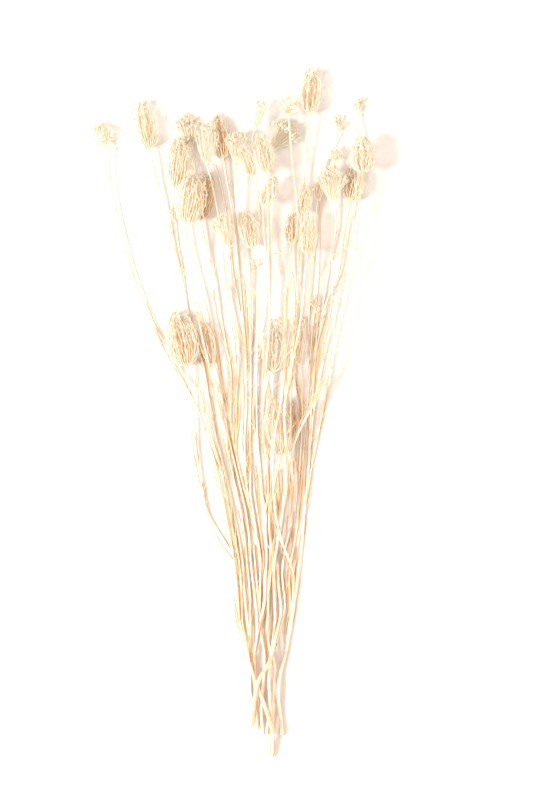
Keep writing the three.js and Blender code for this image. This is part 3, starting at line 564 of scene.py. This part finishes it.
def leaf_rest(line, index, draw):
    """What is left of a dried, finely cut leaf: a thin rib that leaves the stem, with short leaflets."""
    ahead = unit(line[min(index + 3, len(line) - 1)] - line[index])
    side = unit(np.cross(ahead, [0, 0, 1]))
    up = np.cross(side, ahead)
    turn = draw.uniform(0, math.tau)
    out = np.cos(turn) * side + np.sin(turn) * up
    reach = LEAF_REACH * draw.uniform(0.4, 1.0)
    steps = np.linspace(0, 1, LEAF_RIB_POINTS)[:, None]
    curl = draw.uniform(-0.3, 0.5) * side + draw.uniform(-0.2, 0.3) * up
    rib = line[index] + reach * (ahead * steps + out * 0.45 * steps + curl * steps ** 2)
    rib = rib + evened(draw.normal(size=rib.shape), 1) * 0.4 * MM * steps
    rib[:, 2] = np.maximum(rib[:, 2], LEAF_LOWEST)
    rib_radii = np.linspace(*LEAF_RIB_RADII, LEAF_RIB_POINTS)[None] * MM
    parts = [tube_part(rib[None], rib_radii, 4, inside=0.1, aged=0.3, finish=1)]
    roots = rib[draw.integers(1, LEAF_RIB_POINTS, LEAFLETS)]
    ways = unit(ahead + draw.normal(size=(LEAFLETS, 3)) * 0.9)
    far = reach * draw.uniform(0.15, 0.35, LEAFLETS)[:, None, None]
    bend = draw.normal(size=(LEAFLETS, 1, 3)) * 0.3
    steps = np.linspace(0, 1, len(LEAFLET_RADII))[None, :, None]
    leaflets = roots[:, None] + far * (ways[:, None] * steps + bend * steps ** 2)
    leaflets[..., 2] = np.maximum(leaflets[..., 2], LEAF_LOWEST)
    radii = np.tile(LEAFLET_RADII * MM, (LEAFLETS, 1))
    parts.append(tube_part(leaflets, radii, 3, aged=0.2, finish=1))
    return parts


RIBS_FROM = -0.25  # metres along the bunch: from here on, whole leaf ribs dried onto the stalks
RIBS_TO = 0.09
RIB_EVERY = 24 * MM
RIB_CUTS = (18, 40)  # a rib follows its stem for this many cuts
NO_RIB_AT_END = 12  # none starts in the last cuts of that stretch
RIB_AWAY = (1.6, 5.0)  # mm that a rib parts from its stem
RIB_RADII = (0.62, 0.3)  # mm


def lying_rib(line, index, draw):
    """A dried leaf rib that parts from its stem and lies beside or below it. Its deep colour is painted
    shade, which darkens the gaps between the stems.
    """
    run = line[index:index + draw.integers(*RIB_CUTS)]
    count = len(run)
    ahead = unit(np.gradient(run, axis=0))
    side = unit(np.cross(ahead, [0, 0, 1]))
    away = draw.uniform(*RIB_AWAY) * MM * draw.choice([-1, 1])
    leaving = np.sin(np.linspace(0, draw.uniform(1.4, 2.6), count))[:, None]
    rib = run + side * away * leaving + evened(draw.normal(size=run.shape), 6) * 0.6 * MM
    rib[:, 2] = np.maximum(rib[:, 2] - draw.uniform(0, 6) * MM * leaving[:, 0], LEAF_LOWEST)
    radii = np.linspace(*RIB_RADII, count) * MM
    return tube_part(rib[None], radii[None], 4, inside=draw.uniform(0.2, 0.75), aged=0.3, finish=1)


TANNED = {"stalk_5": 0.35, "stalk_6": 0.15, "stalk_3": 0.1}  # how far these stalks missed the bleach
STALK_SEED = 100
for number, (node_name, shoots) in enumerate(stalks.items()):
    draw = np.random.default_rng(STALK_SEED + number)
    parts = []
    for shoot in shoots:
        aged = min(TANNED.get(node_name, 0) + draw.uniform(0, 0.25), 1)
        parts.append(stalk_part(shoot, aged, draw))
        if shoot["parent"]:
            parts.append(leaf_sheath(shoot, draw))
        line = shoot["line"]
        leafy = np.flatnonzero(line[:, 1] > LEAFY_FROM)
        amount = draw.poisson(len(leafy) * CUT_SPACING / LEAF_EVERY)
        for index in draw.choice(leafy, min(amount, len(leafy)), replace=False):
            parts += leaf_rest(line, index, draw)
        ribbed = np.flatnonzero((line[:, 1] > RIBS_FROM) & (line[:, 1] < RIBS_TO))[:-NO_RIB_AT_END]
        amount = draw.poisson(len(ribbed) * CUT_SPACING / RIB_EVERY)
        for index in draw.choice(ribbed, min(amount, len(ribbed)), replace=False):
            parts.append(lying_rib(line, index, draw))
    make_piece(node_name + "_straw", parts, [stalk_straw, ray_straw], node_name)

# Flower heads. Every head is an umbel gone to seed: thin stiff rays leave the stalk's tip together, and a
# ray ends in a small umbel of fine stalks with a dry fruit on each. Heads and stalk grew in one piece.
# A head's room, from its foot to its top, its half width and its height, comes from the frame.
FRUIT_HALF_LENGTH = 0.42 * MM
FRUIT_RADIUS = 0.26 * MM
FRUIT_TAN = 0.1
PEDICEL = 0.2 * MM  # radius of the fine stalk under a fruit
PEDICEL_PLACES = np.array([0, 0.35, 0.7, 1.0])  # shares of its length
PEDICEL_WIDTHS = np.array([1.3, 1.1, 1.0, 0.9])  # and its width there, as shares of its radius
COPY_SHIFT = 5  # mm between the patterns of one copy and the next
GOLDEN_TURN = 2.39996  # radians from each to the next, which spreads them evenly round a middle
FEW_FRUITS = (6, 7, 9)  # on each of the three kinds of small umbel
MANY_FRUITS = (7, 9, 10)
WANDER_RISE = 1.6  # brings the evened paths back to a height of about 1
KNOBBLY = 0.16  # share of its radius by which a ray swells and shrinks
KNOB_PLACES = np.array([-1.6, -0.6, 0.3, 1.0, 1.6, 1.9])  # mm
KNOB_WIDTHS = np.array([0.9, 1.15, 1.5, 1.35, 0.8, 0.2])  # shares of the stem's
BRACT_RADII = np.array([0.42, 0.36, 0.3, 0.24, 0.16, 0.05])  # mm


def copies(part, turns, places, sizes, inside, aged):
    """Many copies of a part, each turned, sized and put in its place."""
    count, corners = len(places), len(part["corners"])
    moved = np.einsum("kc,nca->nka", part["corners"], turns) * sizes[:, None, None] + places[:, None]
    starts = np.arange(count) * corners
    faces = [(face[None] + starts[:, None, None]).reshape(-1, face.shape[1]) for face in part["faces"]]
    shift = np.arange(count)[:, None, None] * MM * COPY_SHIFT
    return {"corners": moved.reshape(-1, 3), "faces": faces,
            "grain": (part["grain"][None] + shift).reshape(-1, 3),
            "inside": (part["inside"][None] + inside[:, None]).clip(0, 1).ravel(),
            "aged": (part["aged"][None] + aged[:, None]).clip(0, 1).ravel(), "finish": part["finish"]}


def turned_to(ways, draw):
    """For each way a turn, as three axes, that lays a part's y axis along it, with any roll."""
    ways = unit(ways)
    any_way = unit(draw.normal(size=ways.shape))
    side = unit(np.cross(ways, any_way))
    return np.stack([side, ways, np.cross(side, ways)], axis=1)


def fruit():
    """One small dry fruit, long along y; its bristles are too fine to show."""
    corners = np.array([[0, -1, 0], [1, 0, 0], [0, 0, 1], [-1, 0, 0], [0, 0, -1], [0, 1, 0]])
    corners = corners * [FRUIT_RADIUS, FRUIT_HALF_LENGTH, FRUIT_RADIUS]
    here = np.arange(1, 5)
    following = np.roll(here, -1)
    under = np.stack([here, following, np.zeros(4, int)], 1)
    over = np.stack([following, here, np.full(4, 5)], 1)
    return {"corners": corners, "faces": [under, over], "grain": corners * 1.0,
            "inside": np.zeros(len(corners)), "aged": np.full(len(corners), FRUIT_TAN), "finish": 1}


def umbellet(count, reach, opening, closing, draw):
    """A small umbel along y: fine stalks that spread by the opening and bend back in by the closing, with a
    fruit on each."""
    tilt = opening * np.sqrt((np.arange(count) + 0.5) / count)
    turn = np.arange(count) * GOLDEN_TURN + draw.uniform(0, 0.5, count)
    out = np.stack([np.cos(turn), np.zeros(count), np.sin(turn)], 1)
    far = reach * draw.uniform(0.6, 1.0, count)[:, None]
    steps = PEDICEL_PLACES
    sideways = np.sin(tilt)[:, None] * far * (steps - closing * steps ** 2)
    forward = (np.cos(tilt) * 0.8 + 0.2)[:, None] * far * steps
    lines = out[:, None] * sideways[..., None] + np.array([0, 1, 0]) * forward[..., None]
    radii = np.tile(PEDICEL * PEDICEL_WIDTHS, (count, 1))
    pedicels = tube_part(lines, radii, 3, finish=1)
    ends_way = lines[:, -1] - lines[:, -2]
    fruits = copies(fruit(), turned_to(ends_way, draw), lines[:, -1], draw.uniform(0.8, 1.25, count),
                    np.zeros(count), np.zeros(count))
    return pedicels, fruits


def umbels(kinds, places, ways, sizes, inside, aged, draw):
    """Small umbels of a few kinds, each at its place on a ray."""
    parts = []
    chosen = draw.integers(0, len(kinds), len(places))
    for number, kind in enumerate(kinds):
        here = chosen == number
        if not here.any():
            continue
        turns = turned_to(ways[here], draw)
        for part in kind:
            parts.append(copies(part, turns, places[here], sizes[here], inside[here], aged[here]))
    return parts


def wandering(shape, draw, passes=3):
    """Smooth random paths along each ray, about 1 high, that start at nothing."""
    steps = evened(draw.normal(size=shape).swapaxes(0, 1), passes).swapaxes(0, 1)
    return steps * np.linspace(0, 1, shape[1])[None, :, None] ** 0.5 * WANDER_RISE


def knobbly(radii, draw):
    """The radii of rays, uneven as those of dry plants are."""
    return radii * (1 + KNOBBLY * draw.normal(size=radii.shape)).clip(0.6, 1.5)


def receptacle(head):
    """The knob where all rays meet on the stalk's tip."""
    line = np.zeros((1, len(KNOB_PLACES), 3))
    line[0, :, 1] = KNOB_PLACES * MM
    return tube_part(line, head["stem"] * KNOB_WIDTHS[None], 8, inside=0.25, aged=0.2)


def bracts(count, reach, draw):
    """Long thin bracts under the rays, which bend up round the head."""
    turn = (np.arange(count) + draw.uniform(0, 0.6, count)) * math.tau / count
    steps = np.linspace(0, 1, len(BRACT_RADII))
    far = reach * draw.uniform(0.6, 1.0, count)[:, None]
    sideways = far * (0.75 * np.sin(steps * 1.5))
    forward = far * (steps ** 2 * 0.8 - steps * 0.25)
    line = np.stack([np.cos(turn)[:, None] * sideways, forward, np.sin(turn)[:, None] * sideways * 0.8], -1)
    return tube_part(line, np.tile(BRACT_RADII * MM, (count, 1)), 4, inside=0.1, aged=0.15)


def umbel_reach(head, least, share, most):
    """How far the small umbels of a head reach: a share of its half width, within two limits in mm."""
    return min(most * MM, max(least * MM, head["half"] * share))


def in_place(part, head):
    """Lays a part from its head's own room into the bunch."""
    return {**part, "corners": head["foot"] + part["corners"] @ head["axes"]}


UMBEL_PALE = "#FBFAEF"
UMBEL_WARM = "#F8F2DC"
UMBEL_DEEP = "#EEC07A"
UMBEL_FIBRE = 0.4  # mm
umbel_straw = bleached_straw("bleached_umbel_straw", UMBEL_PALE, UMBEL_WARM, UMBEL_DEEP,
                             fibre=UMBEL_FIBRE, streaky=0.1, glow=0.0)

# Closed heads, the nests: the rays bent in as they dried, to an egg-shaped cage whose top is curled in. Two
# rays in five end lower, on its outside. Thinner rays fill it, in a deep colour that is painted shade. The
# bud is a small nest.
NEST_PLACES = [0, 0.02, 0.06, 0.12, 0.32, 0.54, 0.76, 0.93, 1.0]
NEST_WIDTHS = [0.04, 0.24, 0.52, 0.72, 0.97, 1.0, 0.9, 0.66, 0.4]
FEWEST_RAYS = 9
RAY_SPACING = 2.4 * MM
# Heads with wider or closer rays.
OWN_SPACING = {"nest_01": 3.0 * MM, "nest_14": 2.2 * MM, "nest_03": 2.2 * MM}
RAY_RADIUS = 0.36 * MM
RAY_WIDTHS = (1.1, 0.75)  # at a ray's root and at its end, as shares of its radius
INNER_WIDTH = 0.75  # an inner ray's width, as a share of an outer one's
RAY_POINTS = 20
ROOT_POINTS = 1.35  # above 1, a ray's points lie closer together near its root
STRAY = 0.72  # mm that the rays of the larger heads wander
STRAY_FULL = 9 * MM  # in heads of at least this half width
TOP_GAP = 0.3 * MM  # the rays stay this far below the top of their head's room
LOWER_ENDS = (0.5, 0.85)  # where the lower outer rays end, as shares of the head's length
UPPER_ENDS = (0.8, 0.93)
INNER_ENDS = (0.5, 0.95)
INNER_SHARES = (0.3, 0.8)  # how far out the inner rays lie, as shares of the cage's width
INNER_DEPTHS = (0.2, 0.9)  # how much of the deep colour, as painted shade, they have at least
DEPTH_SHOWN = 0.75  # and how much of it the deepest places of a head get, as painted shade
# Painted shade added to heads that lie in shade under others, and taken from one to paint it lighter.
SHADED = {"nest_16": -0.45, "nest_22": 0.3, "nest_04": 0.3, "nest_05": 0.15, "nest_15": 0.1}
# Heads whose tops opened again.
FRAYED = {"nest_01": 1.1, "nest_08": 1.1, "nest_16": 0.9, "nest_10": 0.8, "nest_02": 0.6}
USUAL_FRAY = 0.5
STUDDED_FROM = 9.0 * MM  # heads of at least this half width carry stray small umbels on their outer rays
STUDDED_RAYS = 0.45  # on this share of the rays
STUDDED_POINTS = (14, 19)  # at a point of the ray between these, near its end
LONG_BRACT_COUNT = 8
LONG_BRACTS = {"nest_08": 11 * MM, "nest_19": 12 * MM, "nest_01": 5 * MM}


def nest_ray_lines(head, count, ends, share, draw):
    """Rays of a closed head in its own room: from the foot round the cage to their ends."""
    turn = (np.arange(count) + 0.45 * draw.uniform(-0.5, 0.5, count)) * math.tau / count
    steps = np.linspace(0, 1, RAY_POINTS) ** ROOT_POINTS
    along = ends[:, None] * steps
    wide = np.interp(along, NEST_PLACES, NEST_WIDTHS)
    wide = wide / 2 + np.interp(along + 0.05, NEST_PLACES, NEST_WIDTHS) / 2
    wide[:, 0] = 0.03
    wide *= share[:, None] * draw.uniform(0.97, 1.05, count)[:, None]
    wide *= 1 - draw.uniform(0, 0.5, count)[:, None] * ((steps - 0.8) / 0.2).clip(0) ** 2
    sway = draw.normal(size=(count, 1)) * 0.4 * math.tau / count
    swing = sway * np.sin(math.pi * steps) + 0.1 * draw.normal() * steps
    angle = turn[:, None] + swing
    half, deep = head["half"], head["deep"] - TOP_GAP
    line = np.stack([wide * half * np.cos(angle), along * head["length"], wide * deep * np.sin(angle)], -1)
    return line + wandering(line.shape, draw, 1) * STRAY * MM * min(1, head["half"] / STRAY_FULL)


def depth_inside(head, line):
    """0 at the outside of a closed head, and 1 well inside it."""
    along = (line[..., 1] / head["length"]).clip(0, 1)
    most = np.interp(along, NEST_PLACES, NEST_WIDTHS)
    out = np.hypot(line[..., 0] / head["half"], line[..., 2] / head["deep"])
    return ((0.86 - out / np.maximum(most, 0.05)) * 1.8).clip(0, 1)


def nest_parts(name, head, draw):
    """All of a closed head: its outer and inner rays, small umbels, knob and bracts."""
    spacing = OWN_SPACING.get(name, RAY_SPACING)
    count = max(FEWEST_RAYS, round(math.pi * (head["half"] + head["deep"]) / spacing))
    thin = min(1, 0.62 + head["half"] / (28 * MM))
    reach = umbel_reach(head, least=2.2, share=0.36, most=4.8)
    kinds = [umbellet(fruits, reach, opening=0.9, closing=0.7, draw=draw) for fruits in FEW_FRUITS]
    frayed = FRAYED.get(name, USUAL_FRAY)
    parts = [receptacle(head)]
    lower = np.arange(count) % 5 < 2
    outer_ends = np.where(lower, draw.uniform(*LOWER_ENDS, count), draw.uniform(*UPPER_ENDS, count))
    outer_shares = np.where(lower, 1.02, 0.97) * draw.uniform(0.94, 1.02, count)
    inner_ends = draw.uniform(*INNER_ENDS, count)
    inner_shares = draw.uniform(*INNER_SHARES, count)
    layers = [(outer_ends, outer_shares, 1.0, 0), (inner_ends, inner_shares, INNER_WIDTH, 1)]
    for ends, shares, stout, painted_shade in layers:
        line = nest_ray_lines(head, count, ends, shares, draw)
        # Painted shade: deep colour on the inner rays and deep in the head.
        least = painted_shade * draw.uniform(*INNER_DEPTHS, (count, 1))
        inside = np.maximum(depth_inside(head, line) * DEPTH_SHOWN, least)
        inside = (inside + SHADED.get(name, 0)).clip(0, 1)
        radii = np.tile(np.linspace(*RAY_WIDTHS, RAY_POINTS) * RAY_RADIUS * thin * stout, (count, 1))
        parts.append(tube_part(line, knobbly(radii, draw), 4, inside=inside,
                               aged=draw.uniform(0, 0.12, count), turned_in=0.2))
        outward = unit(line[:, -1] * [1, 0, 1]) * draw.uniform(-0.7, frayed, count)[:, None]
        way = unit(line[:, -1] - line[:, -3]) + np.array([0, 0.3, 0]) + outward
        ended = slice(None, None, 1 + painted_shade)
        # The small umbels take a share of their ray's painted shade.
        parts += umbels(kinds, line[ended, -1], way[ended], draw.uniform(0.8, 1.3, count)[ended],
                        inside[ended, -1] * 0.3, draw.uniform(0, 0.2, count)[ended], draw)
        if painted_shade or head["half"] < STUDDED_FROM:
            continue
        studded = np.flatnonzero(draw.uniform(0, 1, count) < STUDDED_RAYS)
        spots = line[studded, draw.integers(*STUDDED_POINTS, len(studded))]
        parts += umbels(kinds, spots, unit(spots * [1, 0, 1]) + np.array([0, 0.8, 0]),
                        draw.uniform(0.4, 0.65, len(studded)), np.full(len(studded), 0.1),
                        draw.uniform(0, 0.2, len(studded)), draw)
    if name in LONG_BRACTS:
        parts.append(bracts(LONG_BRACT_COUNT, LONG_BRACTS[name], draw))
    return parts


NEST_SEED = 200
head_names = sorted(heads)
for number, name in enumerate(head_names):
    if not name.startswith(("nest", "bud")):
        continue
    head = heads[name]
    parts = nest_parts(name, head, np.random.default_rng(NEST_SEED + number))
    parts = [in_place(part, head) for part in parts]
    make_piece(name + "_rays", parts, [ray_straw, umbel_straw], name)

# Half-open heads: umbels that dried before they had closed. Their rays stayed spread, like a goblet or a
# fan, and carry a flat top of small umbels, or a round one where the head had begun to close. They are of
# the same dry straw as the nests and grew on the stalk like them.
GOBLET_PLACES = [0, 0.05, 0.2, 0.36, 0.68, 0.9, 1.0]
GOBLET_WIDTHS = [0.03, 0.12, 0.3, 0.46, 0.84, 1.0, 1.02]
DOME_WIDTHS = [0.03, 0.2, 0.5, 0.74, 1.0, 0.96, 0.7]
DOMED = ("open_head_2",)  # half closed again, with a round top
GOBLET_POINTS = 10
GOBLET_FEWEST = 30
GOBLET_RAYS = 66  # in a head of 17 mm half width
GOBLET_HALF = 17 * MM
GOBLET_RAY_RADIUS = 0.27  # mm
GOBLET_STRAY = 0.4  # mm
THINNING = (1.0, 0.7)  # a ray's width at its root and at its end, as shares of its radius


def goblet_parts(head, widths, draw):
    """All of a half-open head: its rays, small umbels and knob."""
    count = max(GOBLET_FEWEST, round(GOBLET_RAYS * head["half"] / GOBLET_HALF))
    share = np.sqrt((np.arange(count) + 0.5) / count)
    turn = np.arange(count) * GOLDEN_TURN
    ends = 0.92 - 0.32 * share ** 2 + draw.uniform(-0.1, 0.04, count)
    steps = np.linspace(0, 1, GOBLET_POINTS) ** 1.15
    along = ends[:, None] * steps
    wide = np.interp(along * 1.12, GOBLET_PLACES, widths) * share[:, None] * 1.06
    wide[:, 0] = 0.01
    line = np.stack([wide * head["half"] * np.cos(turn)[:, None], along * head["length"],
                     wide * head["deep"] * np.sin(turn)[:, None]], -1)
    line = line + wandering(line.shape, draw) * GOBLET_STRAY * MM
    # Painted shade: the rays near the middle of the goblet are deeper in colour.
    inside = np.repeat(((0.75 - share) * 0.6).clip(0, 1)[:, None], GOBLET_POINTS, 1)
    radii = np.linspace(*THINNING, GOBLET_POINTS) * GOBLET_RAY_RADIUS * MM
    radii = knobbly(np.tile(radii, (count, 1)), draw)
    rays = tube_part(line, radii, 4, inside=inside, aged=draw.uniform(0, 0.15, count), turned_in=0.3)
    parts = [receptacle(head), rays]
    reach = umbel_reach(head, least=2.6, share=0.34, most=5.5)
    kinds = [umbellet(fruits, reach, opening=1.1, closing=0.6, draw=draw) for fruits in FEW_FRUITS]
    way = unit(line[:, -1] - line[:, -3]) + np.array([0, 0.5, 0])
    # The small umbels take a share of their ray's painted shade.
    parts += umbels(kinds, line[:, -1], way, draw.uniform(0.8, 1.2, count), inside[:, -1] * 0.4,
                    draw.uniform(0, 0.2, count), draw)
    return parts


GOBLET_SEED = 300
for number, name in enumerate(head_names):
    if not name.startswith("open"):
        continue
    head = heads[name]
    widths = DOME_WIDTHS if name in DOMED else GOBLET_WIDTHS
    parts = goblet_parts(head, widths, np.random.default_rng(GOBLET_SEED + number))
    parts = [in_place(part, head) for part in parts]
    make_piece(name + "_rays", parts, [ray_straw, umbel_straw], name)

# Tufts: small late heads. Each is a burst of short, stiff rays from the stalk's tip, with a small umbel of
# dry fruits at the end of every ray, all of the same dry straw and grown in one piece.
TUFT_POINTS = 7
TUFT_FEWEST = 14
TUFT_RAYS = 36  # in a head of 10 mm half width
TUFT_HALF = 10 * MM
TUFT_RAY_RADIUS = 0.3  # mm
TUFT_STRAY = 0.3  # mm


def tuft_parts(head, draw):
    """All of a tuft: short rays that burst from low in its middle, and small umbels at their ends."""
    count = max(TUFT_FEWEST, round(TUFT_RAYS * head["half"] / TUFT_HALF))
    rise = draw.uniform(-0.75, 1.0, count)
    turn = np.arange(count) * GOLDEN_TURN + draw.uniform(0, 0.4, count)
    out = np.sqrt(1 - rise ** 2)
    reach = draw.uniform(0.45, 0.9, count)
    target = np.stack([out * np.cos(turn) * head["half"] * reach,
                       head["length"] * (0.5 + 0.5 * rise * reach),
                       out * np.sin(turn) * head["deep"] * reach], -1)
    middle = np.array([0, 0.3 * head["length"], 0])
    steps = np.linspace(0, 1, TUFT_POINTS)[None, :, None]
    line = 2 * steps * (1 - steps) * middle + steps ** 2 * target[:, None]
    line = line + wandering(line.shape, draw, 2) * TUFT_STRAY * MM
    radii = np.linspace(*THINNING, TUFT_POINTS) * TUFT_RAY_RADIUS * MM
    radii = knobbly(np.tile(radii, (count, 1)), draw)
    parts = [receptacle(head), tube_part(line, radii, 4, inside=0.12, aged=draw.uniform(0, 0.4, count))]
    size = umbel_reach(head, least=2.4, share=0.42, most=4.6)
    kinds = [umbellet(fruits, size, opening=1.2, closing=0.6, draw=draw) for fruits in MANY_FRUITS]
    parts += umbels(kinds, line[:, -1], line[:, -1] - line[:, -3], draw.uniform(0.8, 1.2, count),
                    np.zeros(count), draw.uniform(0, 0.3, count), draw)
    return parts


TUFT_SEED = 400
for number, name in enumerate(head_names):
    if not name.startswith("tuft"):
        continue
    head = heads[name]
    parts = [in_place(part, head) for part in tuft_parts(head, np.random.default_rng(TUFT_SEED + number))]
    make_piece(name + "_rays", parts, [ray_straw, umbel_straw], name)

# The surface: a plain sheet of matt white paper, larger than the view. The bunch lies loose on it, and it is
# no part of the bunch.
SURFACE_SIZE = 6.0  # metres
SURFACE_DROP = 0.05 * MM  # it lies this far under the bunch, so that no faces coincide
PAPER_WHITE = "#E5E1DE"
matt_paper = bpy.data.materials.new("matt_white_paper")
matt_paper.use_nodes = True
paper_shader = matt_paper.node_tree.nodes["Principled BSDF"]
paper_shader.inputs["Base Color"].default_value = linear(PAPER_WHITE)
paper_shader.inputs["Roughness"].default_value = 0.95
paper_shader.inputs["Specular IOR Level"].default_value = 0.1
half_size = SURFACE_SIZE / 2
surface_mesh = bpy.data.meshes.new("surface")
sheet = [(x * half_size, y * half_size, -SURFACE_DROP) for x, y in ((-1, -1), (1, -1), (1, 1), (-1, 1))]
surface_mesh.from_pydata(sheet, [], [(0, 1, 2, 3)])
surface_mesh.materials.append(matt_paper)
surface = bpy.data.objects.new("surface", surface_mesh)
bpy.context.scene.collection.objects.link(surface)

# Light: a soft box half way up on the left, which throws shadows to the right and a little up, in a room
# whose walls throw a warm light back.
KEY_HEIGHT = math.radians(48)
KEY_TURN = math.radians(187)  # where it stands, round from +X
KEY_AWAY = 3.2  # metres
KEY_SIZE = 0.75  # metres across
KEY_POWER = 91  # watts
KEY_COLOUR = (1.0, 0.995, 0.985)
ROOM_LIGHT = 1.21
ROOM_COLOUR = (1.0, 0.905, 0.828, 1)
key = bpy.data.lights.new("soft_box", "AREA")
key.shape = "DISK"
key.size = KEY_SIZE
key.energy = KEY_POWER
key.color = KEY_COLOUR
soft_box = bpy.data.objects.new("soft_box", key)
level_away = KEY_AWAY * math.cos(KEY_HEIGHT)
soft_box.location = (level_away * math.cos(KEY_TURN), level_away * math.sin(KEY_TURN),
                     KEY_AWAY * math.sin(KEY_HEIGHT))
soft_box.rotation_euler = (0, math.pi / 2 - KEY_HEIGHT, KEY_TURN)
bpy.context.scene.collection.objects.link(soft_box)
room = bpy.data.worlds.new("white_room")
room.use_nodes = True
room.node_tree.nodes["Background"].inputs["Color"].default_value = ROOM_COLOUR
room.node_tree.nodes["Background"].inputs["Strength"].default_value = ROOM_LIGHT
bpy.context.scene.world = room
bpy.context.scene.view_settings.view_transform = "Standard"

# Camera: straight above the bunch, as the photograph was taken, with one pixel to a millimetre.
SCALE_HEIGHT = 0.012  # metres; the height in the bunch where one pixel shows one millimetre
CAMERA_UP = 3.0  # metres above that height
VIEW_MIDDLE = (0.0341, 0.0135)
VIEW_HEIGHT = 0.799  # metres shown on the long side
SENSOR = 36.0
camera = bpy.data.cameras.new("above")
camera.sensor_width = SENSOR
camera.lens = SENSOR * CAMERA_UP / VIEW_HEIGHT
camera.clip_end = 20
above = bpy.data.objects.new("above", camera)
above.location = (*VIEW_MIDDLE, CAMERA_UP + SCALE_HEIGHT)
bpy.context.scene.collection.objects.link(above)
bpy.context.scene.camera = above
